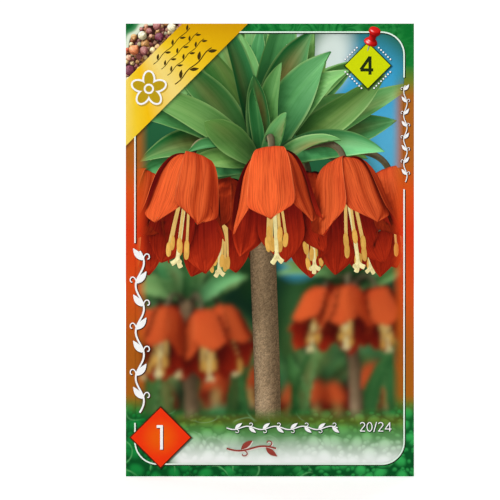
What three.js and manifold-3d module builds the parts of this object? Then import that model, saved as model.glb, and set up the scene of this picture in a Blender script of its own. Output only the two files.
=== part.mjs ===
// Flower bulb packet: a flat printed card that stands upright on its lower edge, with one crown
// imperial bulb behind it. A clear film pouch is sealed to the back of the card round the bulb, and
// the bulb lies at the bottom of the pouch, so its weight keeps the card standing.
//
// Millimetres, +Z up. The printed face looks along -Y. The origin is on the surface that the packet
// stands on, under the middle of the card's width and half-way through the packet's depth.
import * as THREE from "three";
import { ConvexGeometry } from "three/addons/geometries/ConvexGeometry.js";
import { mergeVertices } from "three/addons/utils/BufferGeometryUtils.js";
import Module from "manifold-3d";

const wasm = await Module();
wasm.setup();

// The card.
const CARD_WIDTH = 140;
const CARD_HEIGHT = 220;
const CARD_THICKNESS = 0.5;

// The pouch. Its seal is a flat band on the card's back, set in from the card's edges.
const FILM = 0.6;
const SEAL_INSET = 4;
const SEAL_WIDTH = 6;
const SEAL_CORNER = 7;
const VENT_RADIUS = 3;
const VENTS = [
  [-30, 112],
  [30, 112],
  [0, 132],
  [-30, 152],
  [30, 152],
  [0, 172],
  [-50, 26],
  [50, 26],
  [-50, 78],
  [50, 78],
];

// The bulb, by its girth as bulbs are graded. It lies on its side: its axis points back, a little up
// and to one side.
const BULB_GIRTH = 220;
const BULB_LENGTH = 52;
const BULB_TILT = THREE.MathUtils.degToRad(13);
const BULB_TURN = THREE.MathUtils.degToRad(-9);
const BULB_PRESS = 1.3; // how much of its underside is flat where it rests
const SCALE_JOINS = [0.5, 2.7, 4.55]; // angles of the grooves between its thick scales
const GROOVE_WIDTH = 0.16; // half the angle that a groove takes up
const GROOVE_DEPTH = 0.075; // as a share of the radius there
const RIM_WAVE = 1.1; // how far the rim of the hole rises and falls
const ROOT_STUBS = 11;
const STUB_LENGTH = 5;
const STUB_RADIUS = 1;
const STUB_SPLAY = THREE.MathUtils.degToRad(112); // from straight up, so the stubs point down and out

const GAP = 0.3; // between pieces that touch
const SLACK = 0.6; // between the bulb and the film round it, and the bulb and the card

const bulbRadius = BULB_GIRTH / (2 * Math.PI);
const cardBack = CARD_THICKNESS;
const sealFront = cardBack + GAP;

// A closed geometry as a solid that can be cut and joined.
function toSolid(geometry) {
  const bare = geometry.clone();
  bare.deleteAttribute("normal");
  bare.deleteAttribute("uv");
  const merged = mergeVertices(bare, 1e-3);
  return new wasm.Manifold(
    new wasm.Mesh({
      numProp: 3,
      vertProperties: new Float32Array(merged.attributes.position.array),
      triVerts: new Uint32Array(merged.index.array),
    }),
  );
}

// A solid back as a geometry.
function toGeometry(solid) {
  const { vertProperties, triVerts } = solid.getMesh();
  const geometry = new THREE.BufferGeometry();
  geometry.setAttribute("position", new THREE.BufferAttribute(new Float32Array(vertProperties), 3));
  geometry.setIndex(new THREE.BufferAttribute(new Uint32Array(triVerts), 1));
  geometry.computeVertexNormals();
  return geometry;
}

// A block that holds everything above a height, to cut a flat underside with.
function above(z) {
  const side = 2 * CARD_HEIGHT;
  return toSolid(new THREE.BoxGeometry(side, side, side).translate(0, 0, z + side / 2));
}

// A rectangle with round corners in the plane of the card, a distance in from the card's edges.
function panel(inset, corner) {
  const x = CARD_WIDTH / 2 - inset;
  const [low, high] = [inset, CARD_HEIGHT - inset];
  const shape = new THREE.Shape();
  shape.absarc(x - corner, low + corner, corner, -Math.PI / 2, 0);
  shape.absarc(x - corner, high - corner, corner, 0, Math.PI / 2);
  shape.absarc(-x + corner, high - corner, corner, Math.PI / 2, Math.PI);
  shape.absarc(-x + corner, low + corner, corner, Math.PI, 1.5 * Math.PI);
  shape.closePath();
  return shape;
}

// The panel's outline as points at one depth.
function panelPoints(inset, corner, y) {
  return panel(inset, corner)
    .getPoints(8)
    .map((p) => new THREE.Vector3(p.x, y, p.y));
}

function makeCard() {
  const shape = new THREE.Shape([
    new THREE.Vector2(-CARD_WIDTH / 2, 0),
    new THREE.Vector2(CARD_WIDTH / 2, 0),
    new THREE.Vector2(CARD_WIDTH / 2, CARD_HEIGHT),
    new THREE.Vector2(-CARD_WIDTH / 2, CARD_HEIGHT),
  ]);
  const geometry = new THREE.ExtrudeGeometry(shape, { depth: CARD_THICKNESS, bevelEnabled: false });
  return geometry.rotateX(Math.PI / 2).translate(0, CARD_THICKNESS, 0);
}

// The bulb's outline, from the middle of its root plate, round its side and over the rim, to the
// floor of the hole that last year's stem left. [radius, height] as shares of the bulb's own sizes.
const BULB_PROFILE = [
  [0, 0.02],
  [0.2, 0],
  [0.34, 0.015],
  [0.42, 0.07],
  [0.68, 0.13],
  [0.9, 0.28],
  [1, 0.48],
  [0.95, 0.67],
  [0.76, 0.84],
  [0.52, 0.94],
  [0.34, 1],
  [0.25, 0.96],
  [0.2, 0.82],
  [0.15, 0.68],
  [0, 0.63],
];

// How far an angle lies in a groove between two scales: 1 at its bottom, 0 well away from it.
function groove(angle) {
  return SCALE_JOINS.reduce((deepest, join) => {
    const off = Math.atan2(Math.sin(angle - join), Math.cos(angle - join));
    return Math.max(deepest, Math.exp(-((off / GROOVE_WIDTH) ** 2)));
  }, 0);
}

// The bulb standing on its root plate, axis along +Y: thick fused scales with grooves between them,
// a hole at the top with the new shoot in it, and the stubs of dried roots below.
function makeBulbUpright() {
  const spline = new THREE.SplineCurve(
    BULB_PROFILE.map(([r, h]) => new THREE.Vector2(r * bulbRadius, h * BULB_LENGTH)),
  );
  const profile = spline.getPoints(34).map((p) => new THREE.Vector2(Math.max(p.x, 0), p.y));
  profile[0].x = 0;
  profile[profile.length - 1].x = 0;
  const body = new THREE.LatheGeometry(profile, 44);
  const position = body.attributes.position;
  for (let i = 0; i < position.count; i++) {
    const [x, y, z] = [position.getX(i), position.getY(i), position.getZ(i)];
    const angle = Math.atan2(z, x);
    const share = Math.hypot(x, z) / bulbRadius;
    const shoulder = THREE.MathUtils.smoothstep(y / BULB_LENGTH, 0.1, 0.75) * Math.min(1, share * 3);
    const lumps = 0.014 * Math.sin(2 * angle + 1) + 0.009 * Math.sin(5 * angle + y * 0.12);
    const swell = 1 + lumps - GROOVE_DEPTH * groove(angle) * shoulder;
    const nearRim = THREE.MathUtils.smoothstep(y / BULB_LENGTH, 0.8, 1);
    const rim = RIM_WAVE * Math.sin(3 * angle + 0.6) * nearRim;
    const rise = rim * THREE.MathUtils.smoothstep(share, 0, 0.3);
    position.setXYZ(i, x * swell, y + rise, z * swell);
  }
  let bulb = toSolid(body);

  const shoot = new THREE.ConeGeometry(0.11 * bulbRadius, 0.24 * BULB_LENGTH, 10);
  shoot.rotateX(0.12).translate(0.5, 0.73 * BULB_LENGTH, -0.6);
  bulb = bulb.add(toSolid(shoot));

  for (let k = 0; k < ROOT_STUBS; k++) {
    const angle = (2 * Math.PI * (k + 0.3 * Math.sin(3 * k))) / ROOT_STUBS;
    const length = STUB_LENGTH * (1 + 0.3 * Math.sin(5 * k));
    const stub = new THREE.CylinderGeometry(0.45 * STUB_RADIUS, STUB_RADIUS, length, 6);
    stub.translate(0, length / 2 - STUB_RADIUS, 0).rotateZ(-STUB_SPLAY);
    stub.translate(0.34 * bulbRadius, 0.03 * BULB_LENGTH, 0).rotateY(angle);
    bulb = bulb.add(toSolid(stub));
  }
  return bulb;
}

// The bulb lying at the bottom of the pouch, before its underside is cut flat.
function makeBulbLying() {
  const geometry = toGeometry(makeBulbUpright());
  geometry.rotateX(BULB_TILT).rotateZ(BULB_TURN);
  geometry.computeBoundingBox();
  const { min, max } = geometry.boundingBox;
  return geometry.translate(
    -(min.x + max.x) / 2,
    cardBack + SLACK - min.y,
    FILM + GAP - BULB_PRESS - min.z,
  );
}

// The smallest round-cornered shape that spans from the seal to a little outside the bulb.
function wrap(inset, corner, y, bulb, room) {
  bulb.computeBoundingBox();
  const centre = bulb.boundingBox.getCenter(new THREE.Vector3());
  const position = bulb.attributes.position;
  const points = panelPoints(inset, corner, y);
  for (let i = 0; i < position.count; i++) {
    const p = new THREE.Vector3().fromBufferAttribute(position, i);
    const out = p.clone().sub(centre).normalize();
    points.push(p.addScaledVector(out, room));
  }
  return toSolid(new ConvexGeometry(points.filter((p) => p.y >= y)));
}

// The pouch: a flat seal band, and the film that runs from it over the bulb, with vent holes. It is
// open towards the card, which closes it.
function makePouch(bulb) {
  const inner = SEAL_INSET + SEAL_WIDTH;
  const seal = new THREE.ExtrudeGeometry(panel(SEAL_INSET, SEAL_CORNER), {
    depth: FILM,
    bevelEnabled: false,
    curveSegments: 8,
  });
  seal.rotateX(Math.PI / 2).translate(0, sealFront + FILM, 0);
  const outside = wrap(inner, SEAL_CORNER, sealFront, bulb, SLACK + FILM).add(toSolid(seal));
  const inside = wrap(inner + FILM, SEAL_CORNER, sealFront - 1, bulb, SLACK / 2);
  let pouch = outside.intersect(above(0)).subtract(inside.intersect(above(FILM)));
  for (const [x, z] of VENTS) {
    const reach = 4 * bulbRadius;
    const punch = new THREE.CylinderGeometry(VENT_RADIUS, VENT_RADIUS, reach, 16);
    punch.translate(x, sealFront + 2 * FILM + reach / 2, z);
    pouch = pouch.subtract(toSolid(punch));
  }
  return pouch;
}

const cardGeometry = makeCard();
const bulbLying = makeBulbLying();
const bulbGeometry = toGeometry(toSolid(bulbLying).intersect(above(FILM + GAP)));
const pouchGeometry = toGeometry(makePouch(bulbLying));

const packet = new THREE.Group();
packet.name = "flower_bulb_packet";

const card = new THREE.Mesh(
  cardGeometry,
  new THREE.MeshStandardMaterial({ color: 0xd9531e, roughness: 0.4, metalness: 0 }),
);
card.name = "picture_card";

const pouch = new THREE.Mesh(
  pouchGeometry,
  new THREE.MeshStandardMaterial({
    color: 0xeef3f5,
    roughness: 0.12,
    metalness: 0,
    transparent: true,
    opacity: 0.3,
  }),
);
pouch.name = "film_pouch";

const bulb = new THREE.Mesh(
  bulbGeometry,
  new THREE.MeshStandardMaterial({ color: 0xcdb083, roughness: 0.7, metalness: 0 }),
);
bulb.name = "bulb";

packet.add(card, pouch, bulb);

// Half of the depth goes in front of the origin and half behind it.
const depth = new THREE.Box3().setFromObject(packet).max.y;
packet.position.y = -depth / 2;

export default packet;
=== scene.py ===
"""A flower bulb pack: a printed picture card with one bulb in a clear film pouch on its back.

The card's print is drawn here. Its picture is a small three-dimensional drawing of hanging bells
under a tuft of leaves, which is lit, pressed flat and laid into the card's face as thin ink. Its
frame line, corner band, diamonds, numbers and ornaments are flat shapes on top of that.

The drawing is in millimetres in the frame's own axes: x to the right, y away from the viewer, z up.
"""
import math

import bpy
import numpy as np
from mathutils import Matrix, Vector, geometry, noise
from mathutils.bvhtree import BVHTree


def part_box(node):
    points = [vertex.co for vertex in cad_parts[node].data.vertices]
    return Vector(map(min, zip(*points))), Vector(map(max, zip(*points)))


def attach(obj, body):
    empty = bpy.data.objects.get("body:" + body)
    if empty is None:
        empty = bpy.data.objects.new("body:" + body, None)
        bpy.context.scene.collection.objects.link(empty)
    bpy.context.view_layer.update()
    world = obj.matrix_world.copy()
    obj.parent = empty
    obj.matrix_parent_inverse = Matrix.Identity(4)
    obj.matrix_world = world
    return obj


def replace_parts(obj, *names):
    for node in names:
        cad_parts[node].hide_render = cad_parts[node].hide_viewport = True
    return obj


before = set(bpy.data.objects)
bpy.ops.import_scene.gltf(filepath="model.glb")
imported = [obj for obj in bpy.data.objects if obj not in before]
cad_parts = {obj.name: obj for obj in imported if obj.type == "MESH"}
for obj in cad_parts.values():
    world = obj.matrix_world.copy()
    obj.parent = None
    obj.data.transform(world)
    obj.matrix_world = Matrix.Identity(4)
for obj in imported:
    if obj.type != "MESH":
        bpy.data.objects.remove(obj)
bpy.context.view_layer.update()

MM = 0.001
SCENE = bpy.context.scene

# The card, in millimetres.
CARD_LOW, CARD_HIGH = (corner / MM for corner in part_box("picture_card"))
HALF = CARD_HIGH.x
HEIGHT = CARD_HIGH.z
FRONT = CARD_LOW.y
BACK = CARD_HIGH.y

# How far behind the card's front plane each layer of the print lies.
LAYER_PIN = 0.0
LAYER_NUMBER = 0.014
LAYER_SIGN = 0.03
LAYER_BAND = 0.046
LAYER_HEAP = 0.05
LAYER_LINE = 0.056
LAYER_BORDER = 0.075
LAYER_PICTURE = 0.09
LAYER_GROUND = 0.44
LAYER_STOCK = 0.455
BEHIND = 0.008  # from a shape to its own outline or shadow

# The same for the print on the card's back, in front of the back plane.
BACK_NUMBER = 0.004
BACK_SIGN = 0.012
BACK_GROUND = 0.02
BACK_STOCK = 0.03

# The frame line round the picture, whose middle is a little left of the card's.
LINE_X = 65.37
LINE_SHIFT = -0.18
LINE_LOW = 5.97
LINE_HIGH = 215.85
LINE_CORNER = 11.0
LINE_WIDTH = 0.7

# The band across the top left corner, by how far from the corner it cuts the card's edges.
BAND_NEAR = 27.5
BAND_FAR = 59.4

# The two diamonds: centre x, centre z, half diagonal.
RED_DIAMOND = (-53.1, 18.95, 15.2)
GREEN_DIAMOND = (47.55, 199.6, 11.6)


# ---------------------------------------------------------------- small helpers


def linear(r, g, b):
    """A colour given as 0 to 255 on screen, as the linear numbers that shaders use."""
    c = np.array([r, g, b], float) / 255
    return np.where(c <= 0.04045, c / 12.92, ((c + 0.055) / 1.055) ** 2.4)


def smooth(value, low, high):
    """0 at low, 1 at high, and a smooth step between them."""
    t = np.clip((value - low) / (high - low), 0, 1)
    return t * t * (3 - 2 * t)


def unit(v):
    """A vector, or each of many, at length 1."""
    v = np.asarray(v, float)
    return v / np.maximum(np.linalg.norm(v, axis=-1, keepdims=True), 1e-9)


def blend(a, b, share):
    """Between colours a and b, by a share for each point."""
    share = np.asarray(share)[..., None]
    return a * (1 - share) + b * share


def curve(t, knots):
    """A smooth curve through knots of (place, value), without overshoot."""
    x, y = np.array(knots, float).T
    slope = np.diff(y) / np.diff(x)
    both, product = slope[:-1] + slope[1:], slope[:-1] * slope[1:]
    inner = np.where(product > 0, 2 * product / np.where(product > 0, both, 1), 0)
    lean = np.concatenate([slope[:1], inner, slope[-1:]])
    t = np.asarray(t, float)
    k = np.clip(np.searchsorted(x, t, side="right") - 1, 0, len(x) - 2)
    h = x[k + 1] - x[k]
    u = np.clip((t - x[k]) / h, 0, 1)
    start = (1 + 2 * u) * (1 - u) ** 2 * y[k] + u * (1 - u) ** 2 * h * lean[k]
    return start + u * u * (3 - 2 * u) * y[k + 1] + u * u * (u - 1) * h * lean[k + 1]


def bezier(points, count):
    """A smooth path by four control points."""
    a, b, c, d = (np.asarray(p, float) for p in points)
    t = np.linspace(0, 1, count)[:, None]
    return a * (1 - t) ** 3 + 3 * b * t * (1 - t) ** 2 + 3 * c * t * t * (1 - t) + d * t**3


def path_lengths(path):
    """How far along a path each of its points lies."""
    return np.concatenate([[0], np.cumsum(np.linalg.norm(np.diff(path, axis=0), axis=1))])


def grid_faces(rows, columns, closed=False, start=0):
    """The four-sided faces of a grid of points, numbered row by row."""
    row = np.arange(rows - 1)[:, None] * columns + start
    here = np.arange(columns if closed else columns - 1)[None, :]
    there = (here + 1) % columns
    faces = [row + here, row + there, row + columns + there, row + columns + here]
    return np.stack(faces, -1).reshape(-1, 4)


def shown(name, mesh, material, smooth_shaded=True):
    """A mesh as an object of the scene, all in one material."""
    mesh.materials.append(material)
    mesh.polygons.foreach_set("use_smooth", [smooth_shaded] * len(mesh.polygons))
    thing = bpy.data.objects.new(name, mesh)
    SCENE.collection.objects.link(thing)
    return thing


def make_piece(name, points, faces, material, smooth_shaded=False):
    """A mesh from points in millimetres, riding on the pack's one body."""
    mesh = bpy.data.meshes.new(name)
    mesh.from_pydata((np.asarray(points, float) * MM).tolist(), [], [list(map(int, f)) for f in faces])
    piece = shown(name, mesh, material, smooth_shaded)
    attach(piece, "root")
    return piece


def mesh_tree(mesh):
    """A mesh in metres as a tree for rays in millimetres."""
    points = [v.co / MM for v in mesh.vertices]
    return BVHTree.FromPolygons(points, [list(p.vertices) for p in mesh.polygons])


# ---------------------------------------------------------------- shader graphs


class Graph:
    """Short names for the nodes of one material or group."""

    def __init__(self, tree):
        self.tree = tree

    def node(self, kind, inputs=None, **settings):
        node = self.tree.nodes.new(kind)
        for key, value in settings.items():
            setattr(node, key, value)
        self.fill(node, inputs or {})
        return node

    def fill(self, node, inputs):
        for key, value in inputs.items():
            self.feed(node.inputs[key], value)

    def feed(self, socket, value):
        if isinstance(value, bpy.types.NodeSocket):
            self.tree.links.new(value, socket)
        elif value is not None:
            if socket.type == "RGBA" and len(value) == 3:
                value = (*value, 1.0)
            socket.default_value = value

    def math(self, operation, *values, clamp=False):
        inputs = dict(enumerate(values))
        return self.node("ShaderNodeMath", inputs, operation=operation, use_clamp=clamp).outputs[0]

    def times(self, a, b):
        return self.math("MULTIPLY", a, b)

    def plus(self, a, b):
        return self.math("ADD", a, b)

    def minus(self, a, b):
        return self.math("SUBTRACT", a, b)

    def times_plus(self, a, b, c):
        return self.math("MULTIPLY_ADD", a, b, c)

    def size(self, a):
        return self.math("ABSOLUTE", a)

    def vector(self, operation, a, b=None):
        node = self.node("ShaderNodeVectorMath", {0: a, 1: b}, operation=operation)
        return node.outputs["Value" if operation in ("LENGTH", "DOT_PRODUCT") else "Vector"]

    def scaled(self, vector, factor):
        inputs = {0: vector, "Scale": factor}
        return self.node("ShaderNodeVectorMath", inputs, operation="SCALE").outputs["Vector"]

    def step(self, value, low, high, out_low=0.0, out_high=1.0):
        inputs = {"Value": value, "From Min": low, "From Max": high, "To Min": out_low, "To Max": out_high}
        return self.node("ShaderNodeMapRange", inputs, interpolation_type="SMOOTHSTEP").outputs[0]

    def mix(self, share, a, b, blend_type="MIX"):
        inputs = {0: share, 6: a, 7: b}
        return self.node("ShaderNodeMix", inputs, data_type="RGBA", blend_type=blend_type).outputs[2]

    def ramp(self, value, stops):
        node = self.node("ShaderNodeValToRGB", {"Fac": value})
        elements = node.color_ramp.elements
        while len(elements) < len(stops):
            elements.new(0.5)
        for element, (place, colour) in zip(elements, stops):
            element.position = place
            element.color = (*colour, 1)
        return node.outputs["Color"]

    def noise(self, vector, scale, detail=2.0, roughness=0.5, distortion=0.0, output="Fac"):
        inputs = {"Vector": vector, "Scale": scale, "Detail": detail, "Roughness": roughness}
        return self.node("ShaderNodeTexNoise", inputs | {"Distortion": distortion}).outputs[output]

    def cells(self, place, scale, randomness):
        """Uneven cells in one plane, to be read by how far each point is from its cell's middle."""
        inputs = {"Vector": place, "Scale": scale, "Randomness": randomness}
        return self.node("ShaderNodeTexVoronoi", inputs, voronoi_dimensions="2D").outputs

    def pebbles(self, place, scale, randomness):
        """Round cells, 1 on their lit upper side and 0 in the gaps between them."""
        cells = self.cells(place, scale, randomness)
        upper = self.split(self.scaled(self.vector("SUBTRACT", place, cells["Position"]), scale))[1]
        round_off = self.step(cells["Distance"], 0.6, 0.12)
        return self.math("MULTIPLY", round_off, self.times_plus(upper, 1.1, 0.72), clamp=True)

    def bump(self, height, strength, distance):
        inputs = {"Height": height, "Strength": strength, "Distance": distance}
        return self.node("ShaderNodeBump", inputs).outputs["Normal"]

    def carried(self, name, output="Color"):
        """What the mesh's points or corners carry under a name."""
        return self.node("ShaderNodeAttribute", attribute_name=name).outputs[output]

    def place(self):
        """The point being shaded, in millimetres."""
        return self.scaled(self.node("ShaderNodeNewGeometry").outputs["Position"], 1 / MM)

    def split(self, vector):
        return self.node("ShaderNodeSeparateXYZ", {"Vector": vector}).outputs[:]


def new_material(name):
    """A material with an empty Principled shader, and its graph."""
    material = bpy.data.materials.new(name)
    material.use_nodes = True
    return material, Graph(material.node_tree), material.node_tree.nodes["Principled BSDF"]


def finish_print(g, shader, ink):
    """Ink under a thin varnish, whose sheen is alike all over the card."""
    g.fill(shader, {"Base Color": ink, "Roughness": 0.42, "Specular IOR Level": 0.03})


# The card's border colours from its foot to its head.
BORDER_STOPS = [
    (0.0, linear(4, 96, 38)),
    (0.1, linear(26, 132, 58)),
    (0.138, linear(44, 138, 54)),
    (0.158, linear(104, 116, 36)),
    (0.182, linear(169, 96, 21)),
    (0.29, linear(174, 90, 20)),
    (0.4, linear(211, 78, 21)),
    (0.54, linear(221, 56, 17)),
    (0.63, linear(217, 80, 21)),
    (0.7, linear(178, 96, 26)),
    (0.84, linear(168, 98, 28)),
    (0.873, linear(114, 126, 36)),
    (0.905, linear(14, 120, 44)),
    (1.0, linear(6, 112, 42)),
]
# The ground at the picture's foot, by its height in millimetres, and the height that it ends below.
FOOT_TOP = 40.0
FOOT_STOPS = [
    (16.0, linear(120, 176, 116)),
    (20.5, linear(100, 162, 94)),
    (23.5, linear(84, 142, 66)),
    (26.5, linear(92, 114, 36)),
    (28.5, linear(122, 110, 30)),
    (31.0, linear(176, 102, 34)),
    (34.0, linear(212, 88, 38)),
]
FOOT_WHITE = (0.93, 0.95, 0.93)
SHADE_SHIFT = 0.4  # how far right and down a diamond's shade lies


def pebble_pattern(g, flat, x):
    """Round pebbles lit from above with dark gaps between them, faint in the middle of the card, and
    thin pale rings in places. Returns both, and the slow waves that bend them."""
    wave = g.noise(flat, 0.07, 0.0, output="Color")
    warped = g.vector("ADD", flat, g.scaled(wave, 5.0))
    small = g.pebbles(g.vector("ADD", warped, (40.0, 9.0, 0.0)), 0.3, 1.0)
    body = g.math("MAXIMUM", g.pebbles(warped, 0.125, 0.9), g.times(small, 0.72))
    body = g.times(body, g.step(g.size(x), 6.0, 26.0, 0.4, 1.0))
    off = g.math("DIVIDE", g.minus(g.cells(warped, 0.07, 0.9)["Distance"], 0.42), 0.026)
    ring = g.math("POWER", 2.718, g.times(g.times(off, off), -1.0))
    patchy = g.times(g.noise(flat, 0.09, 1.0), g.step(x, 60.0, -20.0, 0.75, 1.1))
    return body, g.times(ring, g.step(patchy, 0.46, 0.62)), wave


def border_colour(g, flat, x, z, body, ring, wave):
    """The border: its colours by height, with pebbles at its foot and blades of leaves at its head."""
    wander = g.times_plus(g.noise(flat, 0.05, 1.0), 0.024, -0.012)
    base = g.ramp(g.plus(g.math("DIVIDE", z, HEIGHT), wander), BORDER_STOPS)
    low = g.step(z, 38.0, 28.0)
    dark = g.mix(g.times(low, 0.75), base, linear(2, 68, 28))
    pale = g.mix(g.step(x, -46.0, 4.0), linear(20, 134, 58), linear(50, 168, 82))
    border = g.mix(g.step(body, 0.05, 0.95), dark, g.mix(low, base, pale))
    border = g.mix(g.times(g.times(ring, low), 0.5), border, linear(112, 190, 120))
    slant = g.vector("MULTIPLY", g.vector("ADD", flat, g.scaled(wave, 16.0)), (0.34, 0.11, 1.0))
    streak = g.step(g.noise(slant, 1.0), 0.34, 0.68)
    leafy = g.times(g.step(z, 186.0, 200.0), g.step(x, 65.0, 61.0, 0.25, 0.85))
    return g.mix(leafy, border, g.mix(streak, linear(0, 98, 34), linear(42, 142, 66)))


def foot_colour(g, flat, x, z, body, ring, border):
    """The foot of the picture: olive, then pale pebbles that whiten, except in the left corner, which
    is like the border. Returns it, and how far the picture gives way to it."""
    past_corner = g.step(x, -52.0, -42.0)
    uneven = g.times_plus(g.noise(flat, 0.11), 4.0, -2.0)
    height = g.math("DIVIDE", g.times_plus(uneven, 0.5, z), FOOT_TOP)
    ground = g.ramp(height, [(place / FOOT_TOP, colour) for place, colour in FOOT_STOPS])
    pebbles = g.scaled(ground, g.step(body, 0.05, 1.0, 0.72, 1.3))
    pebbles = g.mix(g.times(ring, 0.2), pebbles, linear(176, 214, 172))
    foot = g.mix(g.times(past_corner, g.step(z, 32.0, 25.0)), border, pebbles)
    height = g.plus(z, g.times_plus(body, -3.0, g.step(x, 18.0, 42.0, 1.5, 3.2)))
    foot = g.mix(g.times(g.step(height, 22.5, 6.5), past_corner), foot, FOOT_WHITE)
    return foot, g.step(g.plus(z, uneven), 34.0, 26.5)


def light_left(g, x, z):
    """The light that shade leaves: beyond the band's lower edge, and round the diamonds."""
    past = g.minus(g.minus(g.plus(x, HALF + HEIGHT), z), BAND_FAR)
    shade = g.times(g.step(g.math("DIVIDE", past, math.sqrt(2)), 2.2, -0.3), 0.66)
    for centre_x, centre_z, half in (RED_DIAMOND, GREEN_DIAMOND):
        across = g.size(g.minus(x, centre_x + SHADE_SHIFT))
        up = g.size(g.minus(z, centre_z - SHADE_SHIFT))
        past = g.minus(g.plus(across, up), half)
        shade = g.math("MAXIMUM", shade, g.times(g.step(past, 0.9, -0.3), 0.75))
    return g.minus(1.0, shade)


def make_card_group():
    """What the print has in common, by place on the card: the border's colour and the foot's, how
    far the picture gives way to each, and the light that shade leaves."""
    tree = bpy.data.node_groups.new("card_print", "ShaderNodeTree")
    g = Graph(tree)
    x, _, z = g.split(g.place())
    flat = g.node("ShaderNodeCombineXYZ", {"X": x, "Y": z}).outputs[0]
    body, ring, wave = pebble_pattern(g, flat, x)
    border = border_colour(g, flat, x, z, body, ring, wave)
    foot, to_foot = foot_colour(g, flat, x, z, body, ring, border)
    near_line = g.times(g.step(g.size(x), 58.5, 65.3), g.step(z, 200.0, 184.0))
    outputs = {
        "Border": ("Color", border),
        "Foot": ("Color", foot),
        "ToFoot": ("Float", to_foot),
        "ToBorder": ("Float", near_line),
        "Light": ("Float", light_left(g, x, z)),
    }
    for name, (kind, _) in outputs.items():
        tree.interface.new_socket(name, in_out="OUTPUT", socket_type="NodeSocket" + kind)
    g.node("NodeGroupOutput", {name: value for name, (_, value) in outputs.items()})
    return tree


CARD_GROUP = make_card_group()


def picture_material(name, across=0.0, along=0.0, strength=0.0, vein=(0.5, 0.5, 0.5), speckle=0.0):
    """Ink of the picture. It streaks along a petal or leaf, by the place on it that each point
    carries, and gives way to the card's foot and border."""
    material, g, shader = new_material(name)
    ink = g.carried("ink")
    if strength:
        grain = g.carried("grain", "Vector")
        fine = g.noise(g.vector("MULTIPLY", grain, (across, along, 1.0)), 1.0, 3.0, 0.65)
        broad = g.noise(g.vector("MULTIPLY", grain, (across * 0.22, along * 0.8, 1.0)), 1.0)
        streak = g.mix(g.times(g.step(fine, 0.56, 0.36), strength), (1.0, 1.0, 1.0), vein)
        ink = g.mix(1.0, ink, streak, "MULTIPLY")
        ink = g.scaled(ink, g.times_plus(broad, 0.5 * strength, 1.05 - 0.25 * strength))
    if speckle:
        spots = g.step(g.noise(g.place(), 1.7, 2.0, 0.75), 0.38, 0.62)
        ink = g.scaled(ink, g.times_plus(spots, speckle, 1 - 0.5 * speckle))
    card = g.node("ShaderNodeGroup", node_tree=CARD_GROUP).outputs
    ink = g.mix(card["ToBorder"], ink, card["Border"])
    ink = g.mix(card["ToFoot"], ink, card["Foot"])
    finish_print(g, shader, g.scaled(ink, card["Light"]))
    return material


def border_material():
    material, g, shader = new_material("print_border")
    card = g.node("ShaderNodeGroup", node_tree=CARD_GROUP).outputs
    finish_print(g, shader, g.scaled(card["Border"], card["Light"]))
    return material


def sign_material(name):
    """Ink of the flat signs: the colour that each corner carries, with a faint grain of the press."""
    material, g, shader = new_material(name)
    grain = g.times_plus(g.noise(g.place(), 0.5, 3.0), 0.05, 0.975)
    finish_print(g, shader, g.scaled(g.carried("ink"), grain))
    return material


# ---------------------------------------------------------------- sheets of the drawing


class Sheet:
    """A grid of points with a colour for each face of the sheet, and for each point its place
    across and along the sheet, for its streaks."""

    def __init__(self, points, outside, inside=None, grain=None, closed=False, centre=None, least=0.0):
        self.points = np.asarray(points, float)
        self.least = least  # the least light that falls on it
        self.flat = False  # whether it is set flat among others, and only what is in front shades it
        rows, columns = self.points.shape[:2]
        self.outside = np.broadcast_to(outside, (rows, columns, 3))
        self.inside = self.outside if inside is None else np.broadcast_to(inside, (rows, columns, 3))
        self.grain = np.zeros((rows, columns, 3)) if grain is None else grain
        self.closed = closed
        self.normals = self.find_normals(centre)

    def find_normals(self, centre):
        """The outward normal at each point: away from the centre line where one is given."""
        p = self.points
        along = np.gradient(p, axis=0)
        if self.closed:
            across = (np.roll(p, -1, 1) - np.roll(p, 1, 1)) / 2
        else:
            across = np.gradient(p, axis=1)
        normals = unit(np.cross(across, along))
        if centre is not None and np.sum(normals * (p - centre), -1).mean() < 0:
            normals = -normals
        return normals

    def quads(self):
        return grid_faces(*self.points.shape[:2], self.closed)


VIEWER = np.array([0.0, -1.0, 0.0])
SUN = unit([-0.55, -0.6, 0.75])
SUN_SOFTNESS = 0.14
SUN_RAYS = 6
SKY_RAYS = 18
SKY_REACH = 30.0
SUN_GAP = 0.4  # how far off its point a ray towards the sun starts
SKY_GAP = 0.35  # the same towards the sky
FLAT_GAP = 0.1  # the same for both on a sheet that is set flat
SUN_COLOUR = 0.78 * np.array([1.03, 1.0, 0.94])
SKY_COLOUR = 0.78 * np.array([0.96, 1.0, 1.05])
THROUGH_COLOUR = 0.42 * np.array([1.08, 1.0, 0.8])


def sphere_points(count):
    """Directions spread over the upper half of a sphere, more of them near its top."""
    k = np.arange(count) + 0.5
    up = np.sqrt(1 - k / count)
    turn = k * math.pi * (3 - math.sqrt(5))
    flat = np.sqrt(1 - up**2)
    return np.stack([flat * np.cos(turn), flat * np.sin(turn), up], -1)


def sheets_tree(sheets):
    """All sheets as one tree for rays."""
    faces, start = [], 0
    for sheet in sheets:
        faces.append(sheet.quads() + start)
        start += sheet.points.shape[0] * sheet.points.shape[1]
    points = np.concatenate([s.points.reshape(-1, 3) for s in sheets])
    return BVHTree.FromPolygons(points.tolist(), np.concatenate(faces).tolist())


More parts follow.
